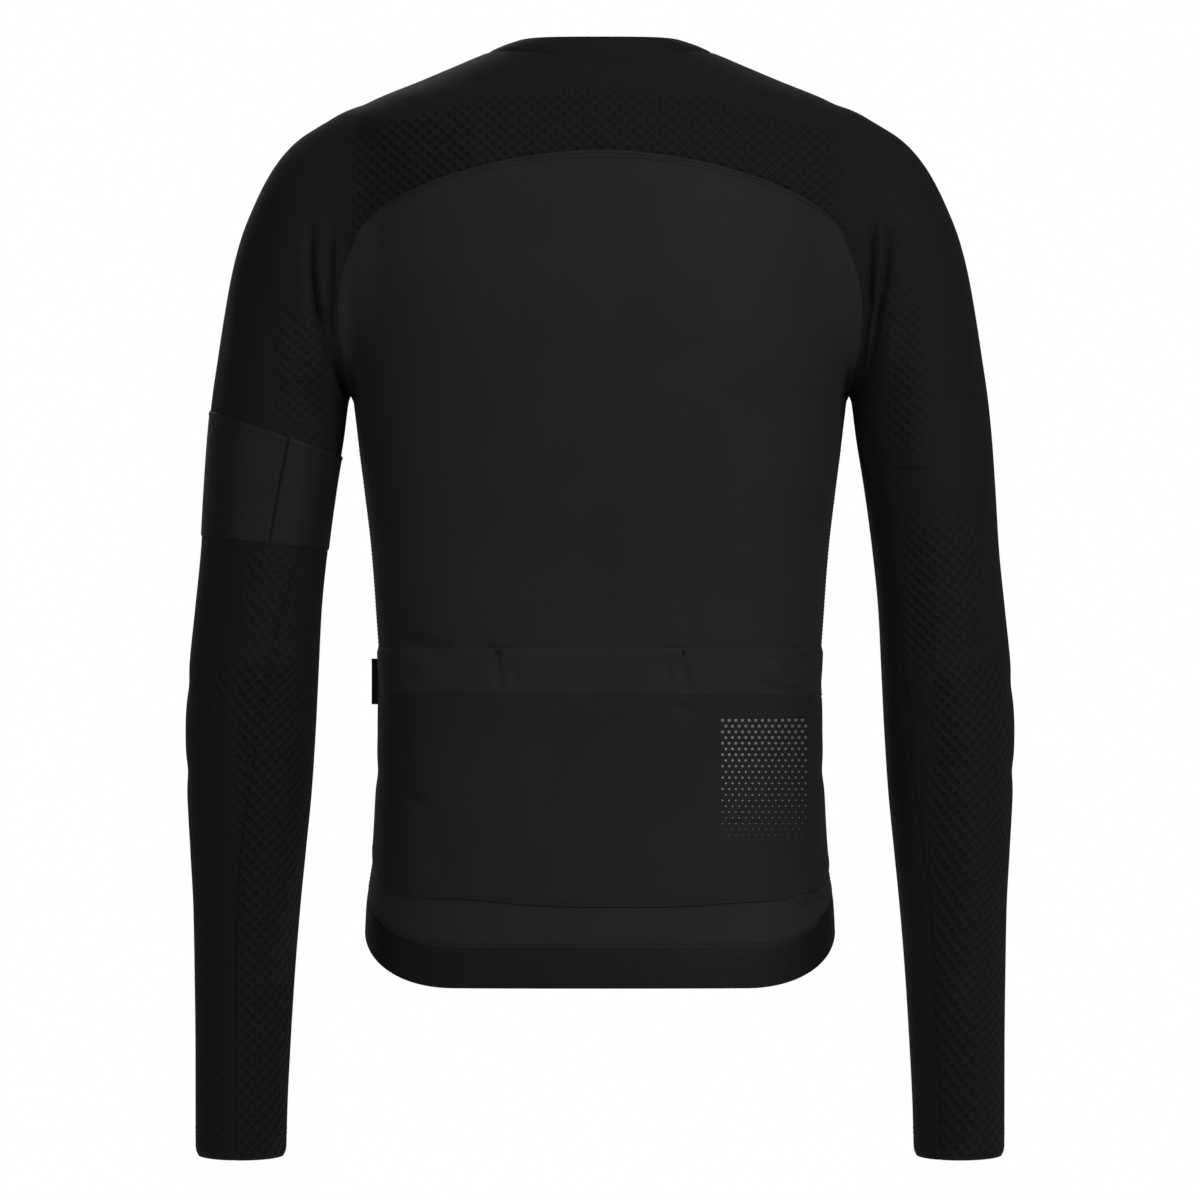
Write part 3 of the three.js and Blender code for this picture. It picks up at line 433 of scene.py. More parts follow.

# %% [markdown]
# ## Folds
# Worn cloth is never quite smooth. Each fold is a soft trough or ridge along a short line. The
# armpit folds are the deepest. A row of the table says which face of the jersey a fold is on,
# its two ends on that face, its half width, its rise, and how far its middle bows sideways.

# %% Folds in millimetres: face, x0, z0, x1, z1, width, rise, bow
FOLD_ENDS, FOLD_FACING = (-0.25, 0.3), (0.05, 0.45)
FOLDS = [
    # right end of the pocket's lower seam
    ("back", -136, -585, -160, -575, 3.0, 1.5, 1), ("back", -140, -591, -161, -581, 2.4, -1.7, 1),
    ("back", -143, -597, -161, -588, 2.5, 1.3, 1), ("back", -146, -602, -161, -595, 2.2, -1.1, 1),
    # armpits, seen from the back
    ("back", 202, -114, 194, -192, 2.0, -4.6, 2), ("back", 196, -174, 176, -234, 2.6, -4.2, 2),
    ("back", 188, -119, 188.5, -192, 1.9, -3.6, -1), ("back", 188, -184, 175, -238, 2.8, -3.4, 1),
    ("back", 197, -128, 193, -190, 2.4, 1.4, 1), ("back", 208, -140, 200, -222, 5.0, 1.4, 3),
    ("back", -202, -106, -196, -172, 2.0, -4.4, -2), ("back", -196, -154, -184, -228, 2.5, -4.2, -2),
    ("back", -191, -110, -189, -174, 1.9, -3.9, 1), ("back", -189, -162, -179, -246, 2.9, -3.9, 1),
    ("back", 164, -112, 166, -212, 11.0, 3.0, 0), ("back", -165, -108, -167, -214, 11.0, 3.2, 0),
    ("back", -196.5, -116, -192, -174, 2.3, 1.4, -1), ("back", -209, -140, -196, -226, 6.0, 1.4, -3),
    # long faint folds down the right sleeve
    ("back", -238, -139, -231, -209, 5.0, -0.9, 2), ("back", -252, -150, -246, -260, 7.0, -0.7, 3),
    ("back", 236, -150, 228, -235, 6.0, -0.7, -2), ("back", 252, -170, 248, -250, 7.0, 0.6, 2),
    # elbows
    ("back", 205, -452, 236, -470, 8.0, -1.0, 3), ("back", 212, -490, 252, -482, 9.0, -0.9, -3),
    ("back", -206, -446, -240, -468, 8.0, -1.0, 3), ("back", -214, -500, -256, -486, 9.0, -0.9, -3),
    ("front", 212, -440, 262, -462, 8.0, -2.0, 4), ("front", 208, -474, 270, -482, 7.0, -2.4, -3),
    ("front", 214, -512, 264, -500, 8.0, -1.8, 4), ("front", -212, -446, -264, -466, 8.0, -2.1, 4),
    ("front", -208, -480, -270, -486, 7.0, -2.3, -3), ("front", -216, -516, -262, -502, 8.0, -1.7, 3),
    # wrists
    ("back", 226, -664, 262, -672, 8.0, -0.7, 3), ("back", -228, -690, -262, -698, 8.0, -0.7, -3),
    ("front", 224, -690, 266, -700, 8.0, -0.9, 3), ("front", -222, -672, -262, -684, 8.0, -0.9, -3),
    # chest and front of the armpits
    ("front", 160, -150, 176, -226, 6.0, -2.4, 4), ("front", 176, -140, 184, -214, 5.0, -1.8, -3),
    ("front", -162, -146, -176, -224, 6.0, -2.4, 4), ("front", -178, -138, -184, -210, 5.0, -1.8, -3),
    ("front", 150, -232, 96, -214, 10.0, -1.2, 4), ("front", -150, -236, -92, -222, 10.0, -1.2, -4),
    ("front", 40, -470, 118, -488, 11.0, -1.0, 4), ("front", -36, -500, -112, -482, 11.0, -1.1, 5),
    ("front", 30, -400, 96, -392, 12.0, -0.7, -3), ("front", -44, -430, -120, -424, 12.0, -0.8, 3),
    # waist and pocket, seen from the back
    ("back", 142, -463, 134, -488, 4.0, -1.0, 1), ("back", 138, -508, 116, -526, 4.0, -1.6, 2),
    ("back", 118, -527, 112, -574, 7.0, -1.0, -2), ("back", 143, -404, 110, -412, 6.0, -3.0, 1),
    ("back", 134, -430, 118, -439, 5.0, -0.8, 1),
    ("back", 73, -396, 73, -409, 4.5, 1.0, 0), ("back", 71, -414, 69, -440, 2.6, -1.9, 1),
    ("back", 62, -424, 59, -438, 2.4, -1.7, -1), ("back", 79, -416, 83, -430, 3.0, 0.6, 0),
    ("back", -55, -394, -56, -409, 5.0, 1.1, 0), ("back", -46, -417, -51, -437, 2.8, -2.2, 1),
    ("back", -55, -419, -60, -439, 2.8, -2.6, -1), ("back", -66, -420, -68, -436, 3.4, 0.7, 0),
    ("back", -52, -450, -68, -458, 3.0, -1.8, 1), ("back", -108, -436, -144, -441, 2.8, -1.5, 2),
    ("back", -112, -424, -151, -431, 3.2, 0.9, 2), ("back", -110, -413, -119, -425, 3.4, -1.1, 0),
    ("back", -124, -428, -150, -437, 2.2, -1.4, -1), ("back", -134, -415, -152, -421, 3.0, -1.4, 1),
    ("back", -150, -578, -166, -596, 3.0, -1.9, 1), ("back", -144, -588, -160, -603, 3.0, -1.8, -1),
    ("back", 150, -572, 134, -590, 4.0, -1.0, 2), ("back", -124, -572, -133, -584, 3.4, -0.7, 1),
    ("back", -60, -300, -130, -330, 16.0, -0.8, 5), ("back", 58, -318, 132, -346, 16.0, -0.7, -5),
    ("back", 70, -360, 140, -386, 14.0, -0.8, 4), ("back", -64, -372, -138, -398, 13.0, -0.8, -4),
    # tops of the shoulders, across and front to back
    ("top", 177, -34, 173, 36, 15.0, 2.0, 0), ("top", -177, -34, -173, 36, 15.0, 2.0, 0),
    # outer sides
    ("outer", -6, -430, 34, -462, 9.0, -0.9, 3), ("outer", -30, -486, 22, -500, 9.0, -1.1, -3),
    ("outer", -20, -300, -34, -390, 10.0, -0.6, 4), ("outer", 18, -170, 30, -250, 10.0, -0.7, 3)]
FACES = {"back": (0, 2, 1, 1.0), "front": (0, 2, 1, -1.0),
         "outer": (1, 2, 0, 1.0), "top": (0, 1, 2, 1.0)}


def folded(grid, out):
    """How far the folds move points along their normals, in all. A fold is its rise, times a
    bell of the distance from its bowed line, times a share that fades towards its ends. FACES
    gives each face's two flat axes, the axis that it looks along, and which way."""
    moved = np.zeros(grid.shape[:2])
    for face, x0, z0, x1, z1, width, rise, bow in FOLDS:
        flat, second, out_axis, sign = FACES[face]
        facing = out[..., out_axis] * (np.sign(grid[..., 0]) if face == "outer" else 1.0) * sign
        p = grid[..., [flat, second]]
        a, b = np.array([x0, z0], float), np.array([x1, z1], float)
        length = np.linalg.norm(b - a)
        way = (b - a) / length
        t = ((p - a) @ way) / length
        across = (p - a) @ np.array([-way[1], way[0]]) - bow * (1 - (2 * t - 1) ** 2)
        ends = smooth(*FOLD_ENDS, t) * smooth(*FOLD_ENDS, 1 - t)
        moved += rise * bell(across, width) * ends * smooth(*FOLD_FACING, facing)
    return moved


def edge_distance(grid, side):
    """How far each point is from one edge of its grid, along the grid's own lines."""
    axis = 1 if side in "lr" else 0
    length = np.linalg.norm(np.diff(grid, axis=axis), axis=-1)
    far = np.cumsum(length, axis=axis)
    far = np.concatenate([np.zeros_like(np.take(far, [0], axis)), far], axis=axis)
    return far if side in "lb" else np.take(far, [-1], axis) - far


print("folds", len(FOLDS))

# %% [markdown]
# ## From grid to cloth
# A panel's mesh is its grid, the same grid moved in by the cloth's thickness, and a rim round
# the edge. Near a seam the cloth turns in a little, as a sewn edge does. The mesh also gets a
# UV map in metres along the cloth, so knits and dimples keep their size.

# %% Mesh helpers
CLOTH = 1.1
RIM_ANGLE = 60.0


def put_mesh(name, points, quads, maps, smooth_faces, marks=None):
    """A mesh from whole arrays: points in millimetres, four corners a face, UVs a point."""
    mesh = bpy.data.meshes.new(name)
    mesh.vertices.add(len(points))
    mesh.vertices.foreach_set("co", (points * MM).astype(np.float32).ravel())
    mesh.loops.add(quads.size)
    mesh.loops.foreach_set("vertex_index", quads.astype(np.int32).ravel())
    mesh.polygons.add(len(quads))
    mesh.polygons.foreach_set("loop_start", np.arange(0, quads.size, 4, dtype=np.int32))
    mesh.polygons.foreach_set("use_smooth", smooth_faces)
    for label, uv in maps.items():
        layer = mesh.uv_layers.new(name=label)
        layer.data.foreach_set("uv", uv[quads.ravel()].astype(np.float32).ravel())
    for mark, values in (marks or {}).items():
        mesh.attributes.new(mark, "FLOAT", "POINT").data.foreach_set("value", values.astype(np.float32))
    mesh.update(calc_edges=True)
    mesh.validate()
    mesh.set_sharp_from_angle(angle=math.radians(RIM_ANGLE))
    piece = bpy.data.objects.new(name, mesh)
    bpy.context.scene.collection.objects.link(piece)
    return piece


def wall_quads(rows, cols):
    """Faces of an outer grid, an inner grid and the four rims, all turned outwards together."""
    at = np.arange(rows * cols).reshape(rows, cols)
    far = at + rows * cols

    def quads(*corners):
        """One row of four corners for each face."""
        return np.stack([c.ravel() for c in corners], axis=1)

    faces = [
        quads(at[:-1, :-1], at[:-1, 1:], at[1:, 1:], at[1:, :-1]),
        quads(far[:-1, :-1], far[1:, :-1], far[1:, 1:], far[:-1, 1:]),
        quads(at[0, :-1], far[0, :-1], far[0, 1:], at[0, 1:]),
        quads(at[-1, :-1], at[-1, 1:], far[-1, 1:], far[-1, :-1]),
        quads(at[:-1, 0], at[1:, 0], far[1:, 0], far[:-1, 0]),
        quads(at[:-1, -1], far[:-1, -1], far[1:, -1], at[1:, -1])]
    skin = len(faces[0]) + len(faces[1])
    every = np.vstack(faces)
    return every, np.arange(len(every)) < skin


def volume(points, quads):
    """Six times the volume that the faces close in, positive if they point out."""
    a, b, c, d = (points[quads[:, k]] for k in range(4))
    return float((a * np.cross(b, c)).sum() + (a * np.cross(c, d)).sum())


def wall(name, outer, inner, marks=None, lattice=None):
    """A closed sheet between two grids. Its lattice map is its cloth map unless one is given."""
    rows, cols = outer.shape[:2]
    points = np.vstack([outer.reshape(-1, 3), inner.reshape(-1, 3)])
    quads, skin = wall_quads(rows, cols)
    if volume(points, quads) < 0:
        quads = quads[:, ::-1]
    uv = np.stack([edge_distance(outer, "l"), edge_distance(outer, "b")], axis=-1).reshape(-1, 2)
    maps = {"cloth": uv, "lattice": uv if lattice is None else lattice.reshape(-1, 2)}
    maps = {label: np.tile(value * MM, (2, 1)) for label, value in maps.items()}
    doubled = {key: np.tile(value.ravel(), 2) for key, value in (marks or {}).items()}
    return put_mesh(name, points, quads, maps, skin, doubled)


def turned_in(grid, edges, depth=0.7, width=1.8):
    """How far a sewn edge sinks: a bell of the distance from each edge."""
    return -depth * sum(bell(edge_distance(grid, side), width) for side in edges)


def cloth(name, grid, edges="lrbt", raise_by=0.0, thick=CLOTH, marks=None, lattice=None):
    """A sewn panel: folded, and sunk along its sewn edges."""
    out = normals(grid)
    up = folded(grid, out) + turned_in(grid, edges) + raise_by
    outer = grid + out * up[..., None]
    return wall(name, outer, outer - out * thick, marks, lattice)


print("cloth", CLOTH, "mm thick, sharp past", RIM_ANGLE, "degrees")

# %% [markdown]
# ## Fabrics
# Every fabric here is nearly black and matt, so what tells them apart is how they scatter
# light: a soft sheen on the smooth charcoal knit, fine dimples in the yoke and sleeves, a
# flatter band, and a slick elastic at the hem. The knit and the dimples are bump in the
# panel's own UV map, in real sizes, and the dimples' hollows also get painted shade in
# their colour.

# %% Material helpers
COOL, GREEN = (0.98, 0.98, 1.08), (0.93, 1.04, 0.98)
SPREAD = (0.3, 0.7)
COURSE_SHARE, WALE_HEIGHT, COURSE_HEIGHT = 0.8, 0.5, 0.35
DIMPLE_EDGE = (0.15, 0.85)


class Nodes:
    """A small hand for wiring shader nodes: most calls make a node and return its output."""

    def __init__(self, name):
        """An empty material and its shader."""
        self.material = bpy.data.materials.new(name)
        self.material.use_nodes = True
        self.tree = self.material.node_tree
        self.shader = self.tree.nodes["Principled BSDF"]

    def node(self, kind, **settings):
        """A node of a kind, with some settings."""
        made = self.tree.nodes.new(kind)
        for key, value in settings.items():
            setattr(made, key, value)
        return made

    def plug(self, socket, value):
        """Links an output to a socket, or sets a plain value on it."""
        if isinstance(value, bpy.types.NodeSocket):
            self.tree.links.new(value, socket)
        else:
            socket.default_value = value

    def math(self, operation, *values):
        """One step of arithmetic."""
        made = self.node("ShaderNodeMath", operation=operation)
        for k, value in enumerate(values):
            self.plug(made.inputs[k], value)
        return made.outputs[0]

    def noise(self, vector, scale, detail=2.0, roughness=0.5):
        """Soft random cloudiness, scale cells a metre."""
        made = self.node("ShaderNodeTexNoise")
        self.plug(made.inputs["Vector"], vector)
        self.plug(made.inputs["Scale"], scale)
        self.plug(made.inputs["Detail"], detail)
        self.plug(made.inputs["Roughness"], roughness)
        return made.outputs["Fac"]

    def mark(self, name):
        """A number that each point of the mesh carries."""
        return self.node("ShaderNodeAttribute", attribute_name=name).outputs["Fac"]

    def uv(self, label="cloth"):
        """Metres along and up the cloth."""
        split = self.node("ShaderNodeSeparateXYZ")
        self.plug(split.inputs[0], self.node("ShaderNodeUVMap", uv_map=label).outputs[0])
        return split.outputs[0], split.outputs[1]

    def place(self):
        """Where the point is, in metres."""
        return self.node("ShaderNodeTexCoord").outputs["Object"]

    def range(self, value, low, high, to_low=0.0, to_high=1.0):
        """A smooth step from one number to another as the value goes from low to high."""
        made = self.node("ShaderNodeMapRange", interpolation_type="SMOOTHSTEP")
        for key, v in (("Value", value), ("From Min", low), ("From Max", high),
                       ("To Min", to_low), ("To Max", to_high)):
            self.plug(made.inputs[key], v)
        return made.outputs[0]

    def blend(self, share, a, b):
        """Colour a at share nought, b at share one."""
        made = self.node("ShaderNodeMix", data_type="RGBA")
        self.plug(made.inputs["Factor"], share)
        self.plug(made.inputs["A"], a)
        self.plug(made.inputs["B"], b)
        return made.outputs["Result"]

    def bump(self, height, distance, strength=1.0, under=None):
        """A normal tilted as a surface of that height would be, over another bump if given."""
        made = self.node("ShaderNodeBump")
        self.plug(made.inputs["Height"], height)
        made.inputs["Distance"].default_value = distance
        made.inputs["Strength"].default_value = strength
        if under is not None:
            self.plug(made.inputs["Normal"], under)
        return made.outputs[0]


def grey(level, tint=COOL):
    """A dark cloth colour from its brightness on screen, 0 to 255, as linear light."""
    linear = ((level / 255 + 0.055) / 1.055) ** 2.4
    return tuple(linear * t for t in tint) + (1.0,)


def knit_height(n, pitch):
    """Wales and courses of a fine knit: a wave across plus a shallower wave along."""
    u, v = n.uv()
    across = n.math("SINE", n.math("MULTIPLY", u, math.tau / pitch))
    along = n.math("SINE", n.math("MULTIPLY", v, math.tau / (pitch * COURSE_SHARE)))
    return n.math("MULTIPLY_ADD", across, WALE_HEIGHT, n.math("MULTIPLY", along, COURSE_HEIGHT))


def dimple_height(n, pitch):
    """A diamond lattice of round hollows, a pitch apart: the product of two waves at 45
    degrees, with its sign dropped and its tops squared off."""
    u, v = n.uv("lattice")
    turn = math.pi / pitch / math.sqrt(2)
    one = n.math("COSINE", n.math("MULTIPLY", n.math("ADD", u, v), turn))
    two = n.math("COSINE", n.math("MULTIPLY", n.math("SUBTRACT", u, v), turn))
    both = n.math("ABSOLUTE", n.math("MULTIPLY", one, two))
    return n.range(both, *DIMPLE_EDGE, 0.0, -1.0)


print("tints", COOL, GREEN)

# %% [markdown]
# The sleeves are smooth in some stretches and dimpled in others, as the photograph shows. A
# mark on each point says how much of the dimple pattern it has there, both its bump and the
# painted shade in its hollows. Real cloth is never one even colour, so a slow cloudiness and a
# fine grain are mixed into it.

# %% Cloth materials
CLOUDS, GRAIN, CLOUD_SHARE = 16.0, 900.0, 0.65
# the third number is how dark the painted shade at the bottom of a dimple gets, as a share of the
# cloth's level
KNIT_BUMP, GLOSS_SPREAD, HOLLOW_SHADE = 0.6, 0.06, 0.5


def fabric(name, level, rough, sheen, knit_pitch, knit_depth, dimple=None, mottle=0.06, tint=COOL):
    """A matt knit: colour with a slow mottle, fine knit bump, and dimples where marked, with
    painted shade darkening the colour in their hollows.
    """
    n = Nodes(name)
    place = n.place()
    slow = n.noise(place, CLOUDS, 3.0)
    fine = n.noise(place, GRAIN, 2.0)
    both = n.math("MULTIPLY_ADD", slow, CLOUD_SHARE, n.math("MULTIPLY", fine, 1 - CLOUD_SHARE))
    dark, light = grey(level * (1 - mottle), tint), grey(level * (1 + mottle), tint)
    colour = n.blend(n.range(both, *SPREAD), dark, light)
    normal = n.bump(knit_height(n, knit_pitch), knit_depth, KNIT_BUMP)
    if dimple:
        pitch, depth, shade = dimple
        mark = n.mark("dimple")
        height = n.math("MULTIPLY", dimple_height(n, pitch), mark)
        normal = n.bump(height, depth, 1.0, under=normal)
        # painted shade: the colour is darkened in each dimple's hollow, by the shade share
        colour = n.blend(n.math("MULTIPLY", height, -shade), colour, grey(level * HOLLOW_SHADE, tint))
    n.plug(n.shader.inputs["Base Color"], colour)
    gloss = n.range(fine, *SPREAD, rough - GLOSS_SPREAD, rough + GLOSS_SPREAD)
    n.plug(n.shader.inputs["Roughness"], gloss)
    n.plug(n.shader.inputs["Normal"], normal)
    n.shader.inputs["Specular IOR Level"].default_value = 0.16
    n.shader.inputs["Sheen Weight"].default_value = sheen
    n.shader.inputs["Sheen Roughness"].default_value = 0.45
    n.shader.inputs["Sheen Tint"].default_value = (0.8, 0.82, 0.9, 1.0)
    return n.material


charcoal = fabric("charcoal knit", 30.5, 0.72, 0.03, 0.0009, 0.0001)
# painted shade: the pocket panel is the same charcoal knit, given a darker colour for the dimmer light
# low on the back
pocket_shaded_knit = fabric("pocket knit painted darker", 25.0, 0.72, 0.03, 0.0009, 0.0001)
# the dimples' third number is the share of painted shade in their hollows
dimpled = fabric("dimpled knit", 16.3, 0.78, 0.02, 0.0009, 0.0001, (0.0063, 0.0013, 0.9), tint=GREEN)
smooth_knit = fabric("smooth band knit", 21.5, 0.6, 0.03, 0.0008, 0.00006)
elastic = fabric("hem elastic", 9, 0.6, 0.02, 0.0016, 0.0002, tint=GREEN)
tape_cloth = fabric("woven tape", 17, 0.7, 0.02, 0.0007, 0.00012)
ribbon = fabric("label ribbon", 8, 0.5, 0.02, 0.0005, 0.00008)
thread = fabric("black thread", 15, 0.55, 0.05, 0.0004, 0.00005)


def hard(name, level, rough, metallic, bump=0.00003, wear=0.08):
    """Painted metal or nylon: a dark coat with a fine grain and small wear in its gloss."""
    n = Nodes(name)
    grain = n.noise(n.place(), 2600.0, 3.0)
    colour = n.blend(n.range(grain, 0.35, 0.7), grey(level), grey(level * 1.3))
    n.plug(n.shader.inputs["Base Color"], colour)
    n.plug(n.shader.inputs["Roughness"], n.range(grain, *SPREAD, rough - wear, rough + wear))
    n.plug(n.shader.inputs["Normal"], n.bump(grain, bump, 0.5))
    n.shader.inputs["Metallic"].default_value = metallic
    return n.material


metal = hard("black satin metal", 48, 0.36, 0.85)
nylon = hard("nylon coil", 30, 0.42, 0.0)


def dots_material():
    """Reflective print: pale grey, a little glossy, broken up as worn print is."""
    n = Nodes("reflective dots")
    grain = n.noise(n.place(), 2200.0, 2.0)
    n.plug(n.shader.inputs["Base Color"], n.blend(n.range(grain, *SPREAD), grey(86), grey(112)))
    n.plug(n.shader.inputs["Roughness"], n.range(grain, *SPREAD, 0.3, 0.46))
    n.shader.inputs["Specular IOR Level"].default_value = 0.5
    return n.material


dots_print = dots_material()
print("materials", len(bpy.data.materials))

# %% [markdown]
# ## Finishing a piece
# Every piece of cloth is given its material and its body, and the imported node that it stands
# for is hidden. For cloth, its worn area is printed beside the size that it was cut to. Nearly
# every cut is smaller than the worn surface, because the knit stretches over the wearer.

# %% Cuts in metres: width, length and, where the cut isn't a rectangle, its area
CUTS = {
    "back_panel": (0.43, 0.58, 0.208), "collar": (0.41, 0.018, None),
    "front_left": (0.21, 0.58, 0.093), "front_right": (0.21, 0.58, 0.093),
    "sleeve_left": (0.36, 0.86, 0.206), "sleeve_right": (0.36, 0.86, 0.206),
    "gripper_back": (0.375, 0.0285, None), "gripper_front_left": (0.18, 0.0285, None),
    "gripper_front_right": (0.18, 0.0285, None), "arm_band": (0.285, 0.074, None),
    "pocket_panel": (0.34, 0.145, None), "pocket_band": (0.34, 0.035, None),
    "zip_tape": (0.018, 0.545, None), "side_label": (0.0105, 0.032, None)}


def surface_area(piece):
    """Half the area of a closed sheet, which has two faces, in square metres."""
    mesh = piece.data
    area = np.zeros(len(mesh.polygons), np.float32)
    mesh.polygons.foreach_get("area", area)
    return float(area.sum()) / 2


def dress(piece, material, node):
    """Material, hidden node, body and, for cloth, a print of the worn area and the flat cut."""
    piece.data.materials.append(material)
    if node:
        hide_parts(node)
    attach(piece, "jersey")
    if node in CUTS:
        width, length, area = CUTS[node]
        print(piece.name, "worn area", round(surface_area(piece), 4), "cut", width, length)


print("cuts", len(CUTS))

# %% [markdown]
# ## Back, fronts and sleeves
# These five are the garment's main form. The back panel's round top edge lies a little proud
# of the dark yoke, because it is sewn over it.

# %% Main panels
ARC_LIP, ARC_REACH = 0.9, 9.0
back_lift = ARC_LIP * bell(edge_distance(back, "t"), ARC_REACH)
dress(cloth("back_cloth", back, raise_by=back_lift), charcoal, "back_panel")
for side, grid in (("left", front), ("right", flip(front))):
    dress(cloth(f"front_{side}_cloth", grid), charcoal, f"front_{side}")

# %% Sleeves, whose dimpled zones are rows of x0, x1, z0, z1, fade and share
SLEEVE_DIMPLES = {
    "left": [(204, 254, -790, -420, 7, 1.0), (212, 250, -425, -335, 12, 0.55),
             (192, 228, -262, -176, 10, 0.55), (258, 276, -456, -425, 8, 0.5),
             (262, 274, -790, -690, 6, 0.5)],
    "right": [(-290, -232, -790, -420, 7, 0.9), (-272, -212, -425, -322, 12, 0.65),
              (-226, -200, -278, -160, 10, 0.5)]}
ZONE_LONG = 2.5
YOKE_TOP, YOKE_BEND, YOKE_LOW = -22, 0.0011, -240
YOKE_FADE, YOKE_SIDE, YOKE_BEHIND, YOKE_SHARE = 5.0, (190, 150), (-5, 25), 0.75
FLAT_ABOVE, SHOULDER_SLOPE = -285.0, 1.12
CUFF_TUCK, CUFF_REACH = 1.8, 2.6


def zone(grid, rows):
    """The greatest share of any zone that a point lies in, fading at their edges. A zone is
    its low and high edge in x and in z, how far it fades in x, and its share. In z it fades
    over two and a half times that."""
    x, z = grid[..., 0], grid[..., 2]
    most = np.zeros(grid.shape[:2])
    for x0, x1, z0, z1, fade, share in rows:
        long = ZONE_LONG * fade
        across = smooth(x0 - fade, x0 + fade, x) * smooth(-x1 - fade, -x1 + fade, -x)
        along = smooth(z0 - long, z0 + long, z) * smooth(-z1 - long, -z1 + long, -z)
        most = np.maximum(most, share * across * along)
    return most


def dimple_mark(grid, rows):
    """The sleeve's zones, and a crescent of the yoke between the arc seam and a bowed line
    above it, which falls with the square of x."""
    x, z = np.abs(grid[..., 0]), grid[..., 2]
    crescent = YOKE_TOP - YOKE_BEND * x**2
    yoke = smooth(YOKE_FADE, -YOKE_FADE, z - crescent) * smooth(*YOKE_SIDE, x) * (z > YOKE_LOW)
    behind = smooth(*YOKE_BEHIND, grid[..., 1])
    return np.maximum(zone(grid, rows), YOKE_SHARE * yoke * behind)


def lattice_map(grid):
    """Where the dimples lie: round the arm below, and flat across the shoulders above."""
    low = np.stack([edge_distance(grid, "l"), edge_distance(grid, "b")], axis=-1)
    flat = grid[..., [0, 2]] * [1, SHOULDER_SLOPE]
    return np.where(grid[..., 2:] > FLAT_ABOVE, flat, low)


def unsunk(grid):
    """Undoes the sunk edge at the centre back, where the two halves of the yoke run on."""
    on_yoke = smooth(FINE["neck"] - 2, FINE["neck"] + 2, np.arange(grid.shape[1]))
    return -turned_in(grid, "t") * on_yoke


print("sleeve zones", {side: len(rows) for side, rows in SLEEVE_DIMPLES.items()})
for side, grid in sleeves.items():
    marks = {"dimple": dimple_mark(grid, SLEEVE_DIMPLES[side])}
    tuck = -CUFF_TUCK * bell(edge_distance(grid, "b"), CUFF_REACH)
    piece = cloth(f"sleeve_{side}_cloth", grid, "lrt", unsunk(grid) + tuck, marks=marks,
                  lattice=lattice_map(grid))
    dress(piece, dimpled, f"sleeve_{side}")

# %% [markdown]
# ## Collar, hem and arm band
# The collar is a low strip between the neck seam and its own top edge. The hem is a strip of
# slick elastic, and the left upper arm carries a plain band laid over the sleeve.

# %% Collar
COLLAR_ROLL, COLLAR_SINK = 1.0, 0.6


def collar_grid(steps=14):
    """The strip between the neck seam and the collar's edge, zip round the back to zip."""
    zip_turn = [180 - math.degrees(math.asin(ZIP_HALF / sizes["side"])) for sizes in (NECK, COLLAR)]
    turns = [np.concatenate([np.linspace(t, RAGLAN_AT_NECK, FINE["neck_front"] + 1)[:-1],
                             np.linspace(RAGLAN_AT_NECK, 0, FINE["neck"] + 1)])
             for t in zip_turn]
    low, high = neck_seam(turns[0]), collar_edge(turns[1])
    low, high = (np.vstack([half, flip(half[:-1][::-1])]) for half in (low, high))
    return mix(low[None], high[None], np.linspace(0, 1, steps + 1)[:, None, None])


def strip_normals(grid, first):
    """Across the grid's own lines, outwards, starting from the seam's normals."""
    along, up = np.gradient(grid, axis=1), np.gradient(grid, axis=0)
    n = np.cross(along, up)
    n /= np.linalg.norm(n, axis=-1, keepdims=True)
    n *= np.sign((n[0] * first).sum())
    share = np.linspace(1, 0, len(grid))[:, None, None] ** 2
    n = n * (1 - share) + first[None] * share
    return n / np.linalg.norm(n, axis=-1, keepdims=True)


strip = collar_grid()
collar_out = strip_normals(strip, normals(strip[0]))
roll = COLLAR_ROLL * np.sin(np.linspace(0, np.pi, len(strip)))[:, None]
raised = roll + turned_in(strip, "b", COLLAR_SINK)
outer = strip + collar_out * raised[..., None]
dress(wall("collar_cloth", outer, outer - collar_out * CLOTH), dimpled, "collar")

# %% Hem elastic
def gripper(start, stop, steps, rows=12):
    """The hem strip between two angles, hem to seam."""
    turn = np.linspace(start, stop, steps + 1)[None]
    z = hem(turn) + GRIPPER * np.linspace(0, 1, rows + 1)[:, None]
    return body_point(np.broadcast_to(turn, z.shape), z)


front_strip = gripper(ZIP_TURN, 90, front.shape[1] - 1)
front_strip[:, 0] = seen_at(ZIP_HALF, front_strip[:, 0, 2], -1)
strips = {"back": gripper(-90, 90, 160), "front_left": front_strip, "front_right": flip(front_strip)}
for place, grid in strips.items():
    piece = cloth(f"gripper_{place}_elastic", grid, "lrt")
    dress(piece, elastic, f"gripper_{place}")

# %% [markdown]
# The band is one strip whose ends meet at a slanting seam behind the arm. Its top edge is
# rolled and puckers beside the seam, where one end stands a little proud of the other.

# %% Arm band
BAND_HIGH, BAND_LOW = -261.4, -338.0
HIGH_SLANT, LOW_SLANT = 16.0, 5.0
BAND_SEAM, BAND_GAP = (4.0, 11.0), 1.5
BAND_CLOTH, BAND_LIFT = 0.55, 0.25
BAND_SUNK = -0.7


